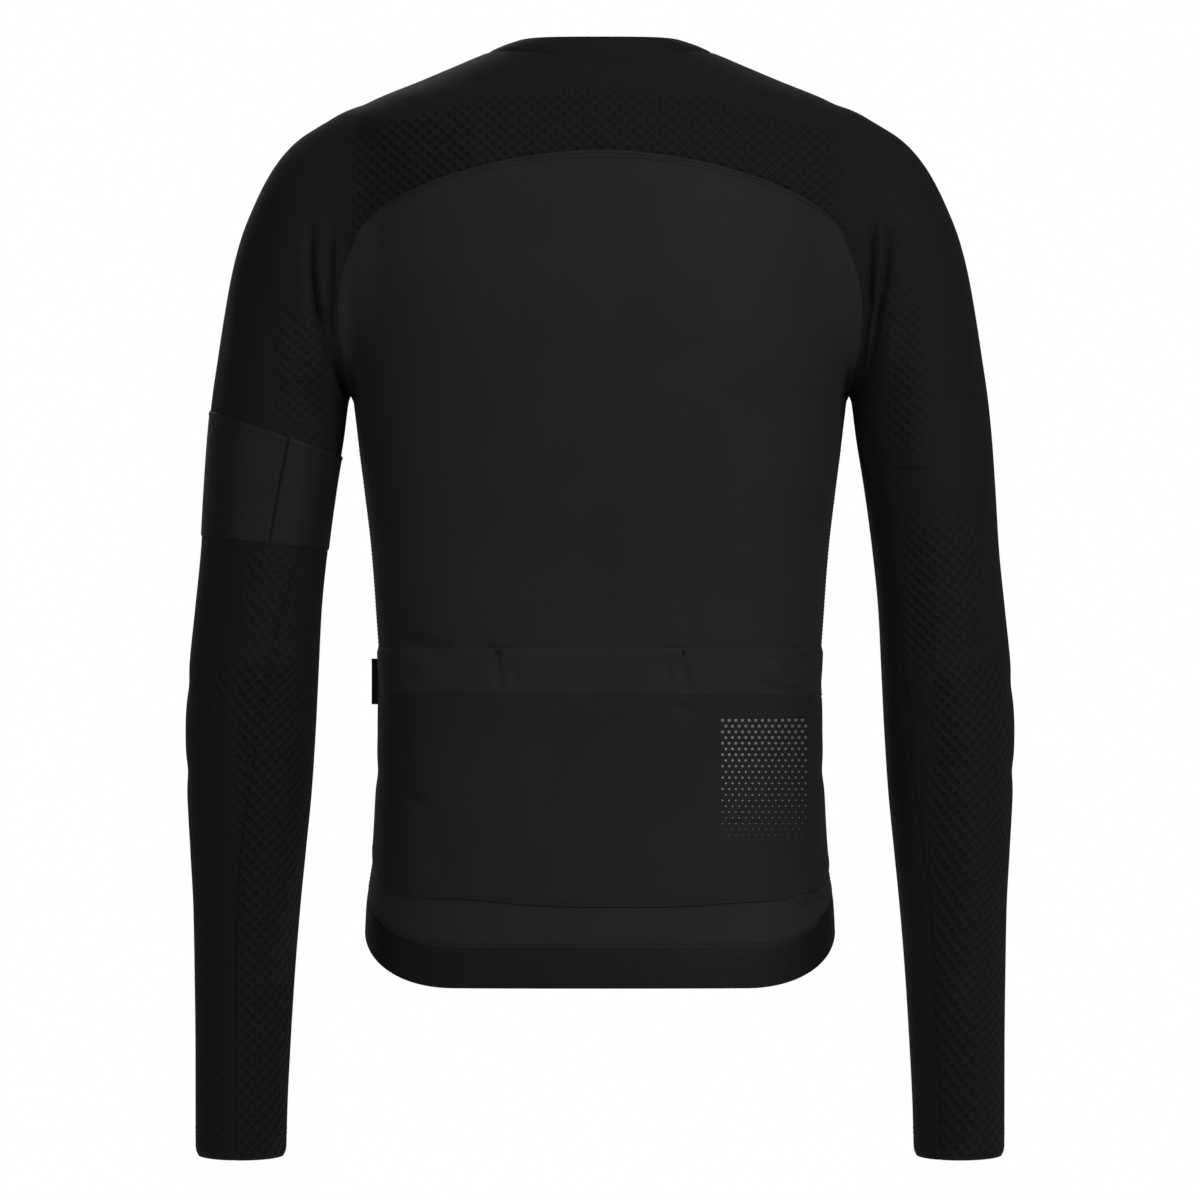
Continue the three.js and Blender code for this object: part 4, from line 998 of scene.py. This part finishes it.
def arm_band_grid(rows=40, around=240):
    """Rings of the left arm from its own seam round to it again; both edges slant down
    towards the body, by the sine of the turn."""
    u = np.linspace(0, 1, around + 1)[None]
    share = np.linspace(0, 1, rows + 1)[:, None]
    turn = mix(*BAND_SEAM, share) + BAND_GAP / 2 + (360 - BAND_GAP) * u
    slope = np.sin(np.radians(turn))
    top, low = BAND_HIGH - HIGH_SLANT * slope, BAND_LOW - LOW_SLANT * slope
    return arm_point(turn, mix(low, top, share))


def band_edges(grid):
    """A roll and a thin lip along the top, small waves beside the seam, a proud left end, and
    sunk ends and lower edge. Each is a rise times a bell of the distance from its edge."""
    top, low, left = (edge_distance(grid, side) for side in "tbl")
    turn = np.linspace(0, 360, grid.shape[1])
    waves = np.sin(np.radians(turn * 24.0)) * bell(turn, 15.0, 18.0)
    edge = 0.6 * bell(top, 1.1, 1.6) - 0.3 * bell(top, 0.5) + 0.4 * waves * bell(top, 7.0)
    edge += 0.4 * bell(left, 1.1, 1.7) + turned_in(grid, "lr", 0.5, 0.8) - 0.25 * bell(low, 0.6)
    return np.maximum(edge, BAND_SUNK)


band_grid = arm_band_grid()
band_out = normals(band_grid)
band_up = folded(band_grid, band_out) + BAND_LIFT
band_top = band_up + BAND_CLOTH + band_edges(band_grid)
arm_band = wall("arm_band_cloth", band_grid + band_out * band_top[..., None],
                band_grid + band_out * (band_up - BAND_LIFT)[..., None])
dress(arm_band, smooth_knit, "arm_band")

# %% [markdown]
# ## The pockets
# One panel crosses the whole back. Its mouth is turned over in a band 35 mm deep and held to
# the back at two bar tacks. It lies close to the back, and gapes a little beside the tacks.

# %% Pockets
GAPES = [(63.0, 20.0, 1.5), (-50.0, 11.0, 1.7), (-128.0, 16.0, 0.8), (128.0, 14.0, 1.0)]
GAPE_DEPTH = 60
LAY_GAP, UNDER = 0.35, 0.2
POCKET_THICK, BAND_THICK, MOUTH_THIN, SIDE_THIN = 1.0, 1.2, 2.2, (0.6, 4.0)
POCKET_RISES = [(36.0, 19.0, 6.0), (-38.0, 16.0, 3.5)]
POCKET_DROP, POCKET_DROP_TURN = 7.0, (55.0, 75.0)
POCKET_TURNS = np.linspace(-90, 90, 161)


def pocket_low(turn):
    """The pocket's lower seam: it follows the hem, is drawn up in two bells, each of its own
    middle, half width and rise, and drops towards the right side seam."""
    bells = [high * bell(turn, half, middle) for middle, half, high in POCKET_RISES]
    drop = POCKET_DROP * smooth(*POCKET_DROP_TURN, -turn)
    return hem(turn) + GRIPPER + POCKET_LIFT + np.sum(bells, axis=0) - drop


def pocket_rows(low, high, steps):
    """Rows of the back between a lower line, or a lower height, and a height."""
    low = np.broadcast_to(low, POCKET_TURNS.shape)
    z = mix(low[None], high, np.linspace(0, 1, steps + 1)[:, None])
    return body_point(np.broadcast_to(POCKET_TURNS, z.shape), z)


def stand_off(grid):
    """How far the pocket stands off the back: each gape is a bell across, of its own middle,
    half width and rise, that grows from the pocket's depths to the mouth."""
    rise = smooth(POCKET_TOP - GAPE_DEPTH, POCKET_TOP, grid[..., 2])
    bells = [high * bell(grid[..., 0], half, middle) for middle, half, high in GAPES]
    return rise * np.sum(bells, axis=0)


def laid(name, grid, edges, thick, sink=0.5, mouth=0.0):
    """Cloth laid over the back panel: gap, stand-off, folds and its own thickness, which
    thins towards the side seams and, by the mouth's share, towards the top edge."""
    out = normals(grid)
    up = folded(grid, out) + LAY_GAP + stand_off(grid)
    thin = 1 - mouth * bell(edge_distance(grid, "t"), MOUTH_THIN)
    sides = turned_in(grid, "lr", thick * SIDE_THIN[0], SIDE_THIN[1])
    outer = grid + out * (up + thick * thin + turned_in(grid, edges, sink) + sides)[..., None]
    return wall(name, outer, grid + out * (up - UNDER)[..., None])


BAND_FOOT = POCKET_TOP - POCKET_BAND
pocket_grid = pocket_rows(pocket_low(POCKET_TURNS), BAND_FOOT, 50)
pocket_band_grid = pocket_rows(BAND_FOOT, POCKET_TOP, 18)
# the pocket panel wears the charcoal knit painted darker, as shade
dress(laid("pocket_cloth", pocket_grid, "b", POCKET_THICK, sink=0.1), pocket_shaded_knit,
      "pocket_panel")
dress(laid("pocket_band_cloth", pocket_band_grid, "b", BAND_THICK, mouth=0.9), charcoal,
      "pocket_band")

# %% [markdown]
# ## Stitching
# Seams on knit are sewn with rows of short stitches. Each is a small lens of thread with eight
# corners, and a whole row of them is one mesh, worked out at once.

# %% Stitches
LENS = np.array([(-1, 0, 0), (-0.5, 0.9, 0.5), (-0.5, -0.9, 0.5), (-0.5, 0, -0.8),
                 (0.5, 0.9, 0.5), (0.5, -0.9, 0.5), (0.5, 0, -0.8), (1, 0, 0)], float)
LENS_FACES = np.array([(0, 2, 1, 1), (0, 1, 3, 3), (0, 3, 2, 2), (1, 2, 5, 4), (2, 3, 6, 5),
                       (3, 1, 4, 6), (7, 4, 5, 5), (7, 6, 4, 4), (7, 5, 6, 6)])
STITCH_PROUD = 0.15


def spaced(path, out, pitch):
    """Points, outward directions and ways along a path at an even spacing."""
    length = np.concatenate([[0], np.cumsum(np.linalg.norm(np.diff(path, axis=0), axis=1))])
    at = np.arange(pitch / 2, length[-1], pitch)
    where = np.stack([np.interp(at, length, path[:, k]) for k in range(3)], axis=1)
    facing = np.stack([np.interp(at, length, out[:, k]) for k in range(3)], axis=1)
    way = np.gradient(where, axis=0)
    way /= np.linalg.norm(way, axis=1, keepdims=True)
    facing /= np.linalg.norm(facing, axis=1, keepdims=True)
    return where, facing, way


def lenses(centre, long, wide, high):
    """A lens at each centre, stretched along three vectors: centre plus the lens's own three
    coordinates times them."""
    stretched = (LENS[None, :, k:k + 1] * way[:, None] for k, way in enumerate((long, wide, high)))
    return centre[:, None] + sum(stretched)


def stitch_row(paths, pitch=2.8, long=2.0, wide=0.5, lean=0.0):
    """Points of every stitch on some (path, outward) pairs: a lens stretched along the path,
    leaning to one side by a share of its length."""
    every = []
    for path, out in paths:
        where, facing, way = spaced(path, out, pitch)
        side = np.cross(facing, way)
        along = way + side * lean
        centre = where + facing * wide * STITCH_PROUD
        every.append(lenses(centre, along * long / 2, side * wide / 2, facing * wide / 2))
    return np.vstack(every)


def sew(name, rows, material=thread, node=None):
    """One mesh of all the lenses. Where a face's row names a corner twice, it is a
    three-cornered end."""
    count = len(rows)
    points = rows.reshape(-1, 3) * MM
    faces = (LENS_FACES[None] + 8 * np.arange(count)[:, None, None]).reshape(-1, 4)
    mesh = bpy.data.meshes.new(name)
    lists = [tuple(dict.fromkeys(face)) for face in faces.tolist()]
    mesh.from_pydata(points.tolist(), [], lists)
    mesh.polygons.foreach_set("use_smooth", np.ones(len(lists), bool))
    mesh.update()
    piece = bpy.data.objects.new(name, mesh)
    bpy.context.scene.collection.objects.link(piece)
    print(name, count, "lenses")
    dress(piece, material, node)


def line_on(grid, side, inset=3.0, lift=0.0):
    """A line on a grid, some millimetres in from one of its edges, with its normals."""
    far = edge_distance(grid, side)
    if side in "lr":
        grid, far = grid.transpose(1, 0, 2), far.T
    if side in "tr":
        grid, far = grid[::-1], far[::-1]
    k = np.clip((far < inset).sum(0), 1, len(far) - 1)
    j = np.arange(grid.shape[1])
    t = ((inset - far[k - 1, j]) / (far[k, j] - far[k - 1, j]))[:, None]
    line = mix(grid[k - 1, j], grid[k, j], t)
    out = normals(line)
    up = folded(line[None], out[None])[0]
    return line + out * (up + lift)[:, None], out


def on_pocket(grid, side, inset, thick):
    """A line on the pocket, lifted by where the pocket stands."""
    line, out = line_on(grid, side, inset)
    return line + out * (stand_off(line) + LAY_GAP + thick)[:, None], out


SEAM_IN, OVERLOCK_IN, OVERLOCK_LEAN = 2.2, 2.4, 0.4
ARC_ROWS, CUFF_ROWS = (2.6, 5.4), (16.0, 19.0)
PIT_CLEAR = 6
both_fronts = (front, flip(front))

sew("pocket_band_stitches", stitch_row([on_pocket(pocket_band_grid, "b", 2.0, BAND_THICK)]))
sew("pocket_seam_stitches", stitch_row([on_pocket(pocket_grid, "b", SEAM_IN, 0.9)]))
sew("arc_seam_stitches", stitch_row([line_on(back, "t", inset, ARC_LIP) for inset in ARC_ROWS]))
hem_lines = [line_on(g, "b", OVERLOCK_IN) for g in (back, *both_fronts)]
sew("hem_seam_stitches", stitch_row(hem_lines, lean=OVERLOCK_LEAN))
side_lines = [line_on(g[:BODY_ROWS], "r", OVERLOCK_IN) for g in both_fronts]
sew("side_seam_stitches", stitch_row(side_lines, lean=OVERLOCK_LEAN))
for side, grid in sleeves.items():
    tube, cap = grid[4:SLEEVE_RINGS - PIT_CLEAR], grid[SLEEVE_RINGS + PIT_CLEAR:]
    lines = [line_on(tube, edge, SEAM_IN) for edge in "lr"]
    lines += [line_on(grid, "b", inset) for inset in CUFF_ROWS] + [line_on(cap, "l", OVERLOCK_IN)]
    sew(f"sleeve_{side}_stitches", stitch_row(lines))

# %% [markdown]
# Short dense bars of thread hold the pocket's mouth down at the two dividers.

# %% Bar tacks
BAR_TACKS = (-58.0, 70.0)
BAR_HIGH, BAR_LONG = POCKET_TOP - 1.5, 4.5


def bar_tack(x):
    """Close stitches across a short line down the pocket's mouth."""
    line = seen_at(x, np.linspace(BAR_HIGH, BAR_HIGH - BAR_LONG, 12), 1)
    out = normals(line)
    return line + out * (LAY_GAP + BAND_THICK + stand_off(line))[:, None], out


tacks = [bar_tack(x) for x in BAR_TACKS]
sew("pocket_bar_tacks", stitch_row(tacks, pitch=0.6, long=0.9, wide=1.3))

# %% [markdown]
# ## The zip
# A coil zip closes the front. Its tape shows between the fronts and dips on both sides to lie
# under their edges. The coil's teeth are a row of short lenses, and the slider and its pull tab
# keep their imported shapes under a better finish.

# %% Zip tape
ZIP_ROWS, ZIP_NECK_ROWS = 160, 8
TAPE_HALF, TAPE_UNDER, TAPE_DIP, TAPE_THICK = 9.0, 2.1, 3.6, 0.7


def zip_line():
    """The middle of the zip from hem to collar edge, and its outward normals."""
    seam, edge = neck_seam(np.array([180.0]))[0], collar_edge(np.array([180.0]))[0]
    low = seen_at(0, np.linspace(float(hem(180)), seam[2], ZIP_ROWS + 1), -1)
    return np.vstack([low, mix(seam, edge, np.linspace(0, 1, ZIP_NECK_ROWS + 1)[1:, None])])


middle = zip_line()
slope = np.gradient(middle, axis=0)
zip_out = np.stack([0 * slope[:, 0], -slope[:, 2], slope[:, 1]], axis=1)
zip_out /= np.linalg.norm(zip_out, axis=1, keepdims=True)
across = np.linspace(-TAPE_HALF, TAPE_HALF, 19)
tape = middle[:, None] + across[None, :, None] * [1, 0, 0]
tape_out = np.broadcast_to(zip_out[:, None], tape.shape)
tape_up = -TAPE_UNDER * smooth(TAPE_DIP, ZIP_HALF, np.abs(across))[None, :, None]
dress(wall("zip_tape_cloth", tape + tape_out * tape_up, tape + tape_out * (tape_up - TAPE_THICK)),
      tape_cloth, "zip_tape")

# %% Zip teeth and slider
CHAIN_THICK = 1.3
TOOTH_PITCH, TOOTH_ASIDE = 1.6, 0.55
TOOTH_LONG, TOOTH_WIDE, TOOTH_HIGH = 1.75, 0.72, 0.65


def teeth():
    """Each tooth is a stretched lens across the zip, left and right in turn."""
    line, out, way = spaced(middle[:ZIP_ROWS + 1], zip_out[:ZIP_ROWS + 1], TOOTH_PITCH)
    side = np.cross(out, way) * np.where(np.arange(len(line)) % 2, 1, -1)[:, None]
    centre = line + out * (LAY_GAP + CHAIN_THICK / 2) + side * TOOTH_ASIDE
    return lenses(centre, side * TOOTH_LONG, way * TOOTH_WIDE, out * TOOTH_HIGH)


sew("zip_teeth", teeth(), nylon, "zip_chain")
for node in ("zip_slider", "zip_pull"):
    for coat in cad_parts[node].material_slots:
        coat.material = metal

# %% [markdown]
# ## Label and print
# A bare ribbon label is caught in the left side seam. On the right of the pockets is a fading
# patch of small reflective dots, so that the rider shows in headlights.

# %% Side label
LABEL_LOW, LABEL_HIGH, LABEL_OUT = -451.0, -419.0, 4.6
RIBBON, LABEL_FORWARD = 0.32, 0.9


def label_grid(grow, curl=0.9, loop=0.42):
    """One face of the ribbon, which runs out from the seam, round a small loop and back. Its
    outline is straight, half a circle, straight, and it curls a little sideways as it goes."""
    z = np.linspace(LABEL_LOW, LABEL_HIGH, 17)[:, None]
    turn = np.radians(np.linspace(90, -90, 9))
    straight = np.linspace(0, 1, 11)[:-1]
    x = np.concatenate([straight * LABEL_OUT, LABEL_OUT + (loop + grow) * np.cos(turn),
                        straight[::-1] * LABEL_OUT])
    y = np.concatenate([0 * straight + loop + grow, (loop + grow) * np.sin(turn),
                        0 * straight - loop - grow])
    y = y + curl * (x / LABEL_OUT) ** 2
    x = body["side"](z) + x[None]
    return np.stack([x, y - LABEL_FORWARD + 0 * x, z + 0 * x], axis=-1)


dress(wall("label_ribbon", label_grid(RIBBON), label_grid(0.0)), ribbon, "side_label")

# %% Reflective dots
DOT_AREA = (-85.0, -144.0, -462.0, -544.0)
DOT_PITCH, ROW_SHARE = 4.6, 0.87
DOT_SIZE, DOT_FADE, DOT_FADE_POWER = 1.15, 0.78, 1.2
DOT_SIDES, DOT_LIFT, DOT_CROWN = 8, 0.08, 0.05


def dots():
    """Places and sizes of dots in offset rows, which shrink by a power of the way down."""
    x0, x1, z0, z1 = DOT_AREA
    rows = np.arange(0, z0 - z1, DOT_PITCH * ROW_SHARE)
    cols = np.arange(0, x0 - x1, DOT_PITCH)
    r, c = np.meshgrid(np.arange(len(rows)), np.arange(len(cols)), indexing="ij")
    x = x0 - cols[c] - (r % 2) * DOT_PITCH / 2
    z = z0 - rows[r]
    size = DOT_SIZE * (1 - DOT_FADE * (rows[r] / (z0 - z1)) ** DOT_FADE_POWER)
    keep = x > x1
    return x[keep], z[keep], size[keep]


def print_dots(name):
    """Each dot is a slightly crowned fan round its centre, laid on the pocket's face."""
    x, z, size = dots()
    angle = np.arange(DOT_SIDES) * math.tau / DOT_SIDES
    px = x[:, None] + size[:, None] * np.cos(angle)
    pz = z[:, None] + size[:, None] * np.sin(angle)
    points = seen_at(px, pz, 1)
    out = normals(points)
    up = folded(points, out) + LAY_GAP + stand_off(points) + POCKET_THICK + DOT_LIFT
    points = points + out * up[..., None]
    centre = points.mean(axis=1, keepdims=True) + out.mean(axis=1, keepdims=True) * DOT_CROWN
    every = np.concatenate([points, centre], axis=1).reshape(-1, 3) * MM
    k = np.arange(DOT_SIDES)
    fan = np.stack([k, (k + 1) % DOT_SIDES, np.full(DOT_SIDES, DOT_SIDES)], axis=1)
    faces = (fan[None] + (DOT_SIDES + 1) * np.arange(len(x))[:, None, None]).reshape(-1, 3)
    mesh = bpy.data.meshes.new(name)
    mesh.from_pydata(every.tolist(), [], faces.tolist())
    mesh.update()
    if mesh.polygons[0].normal.y < 0:
        mesh.flip_normals()
    piece = bpy.data.objects.new(name, mesh)
    bpy.context.scene.collection.objects.link(piece)
    print(name, len(x), "dots")
    dress(piece, dots_print, None)


print_dots("reflective_dots")

# %% [markdown]
# ## Light and floor
# A pale floor lies below the sleeves, out of the picture from behind, and the world behind the
# jersey is white. Four large soft lamps shape the cloth: two behind it at the sides, one above
# and one in front. The world looks white to the camera but lights the cloth only dimly.

# %% Stage
LAMPS = {"key lamp": ((-2.2, 2.5, 1.0), 1.4, 70.0), "fill lamp": ((1.9, 2.6, 0.5), 1.8, 27.0),
         "top lamp": ((0, 0.5, 2.2), 1.4, 8.0), "far lamp": ((0.6, -2.6, 0.8), 1.8, 22.0)}
WORLD_LIGHT = 0.12


def soft_light(name, place, size, power, aim=(0, 0, -0.35)):
    """A square lamp turned towards the jersey."""
    lamp = bpy.data.lights.new(name, "AREA")
    lamp.size = size
    lamp.energy = power
    holder = bpy.data.objects.new(name, lamp)
    way = np.array(aim) - np.array(place)
    holder.location = place
    holder.rotation_euler = (math.acos(-way[2] / np.linalg.norm(way)), 0,
                             math.atan2(way[1], way[0]) - math.pi / 2)
    bpy.context.scene.collection.objects.link(holder)


def floor(radius=1.15, low=-1.03):
    """A pale round floor."""
    bpy.ops.mesh.primitive_circle_add(vertices=96, radius=radius, fill_type="NGON",
                                      location=(0, 0, low))
    disc = bpy.context.active_object
    disc.name = "floor"
    n = Nodes("pale floor")
    grain = n.noise(n.place(), 30.0, 3.0)
    colour = n.blend(grain, (0.78, 0.78, 0.78, 1), (0.84, 0.84, 0.84, 1))
    n.plug(n.shader.inputs["Base Color"], colour)
    n.shader.inputs["Roughness"].default_value = 0.8
    disc.data.materials.append(n.material)


def white_world():
    """Strength one for rays from the camera, and a dim share of it for all others."""
    world = bpy.data.worlds.new("white studio")
    bpy.context.scene.world = world
    world.use_nodes = True
    sky = world.node_tree
    ray = sky.nodes.new("ShaderNodeLightPath")
    strength = sky.nodes.new("ShaderNodeMapRange")
    strength.inputs["To Min"].default_value = WORLD_LIGHT
    strength.inputs["To Max"].default_value = 1.0
    sky.links.new(ray.outputs["Is Camera Ray"], strength.inputs["Value"])
    sky.links.new(strength.outputs[0], sky.nodes["Background"].inputs["Strength"])
    sky.nodes["Background"].inputs["Color"].default_value = (1, 1, 1, 1)


floor()
for name, (place, size, power) in LAMPS.items():
    soft_light(name, place, size, power)
white_world()
bpy.context.scene.view_settings.view_transform = "Standard"
print("lamps", list(LAMPS))
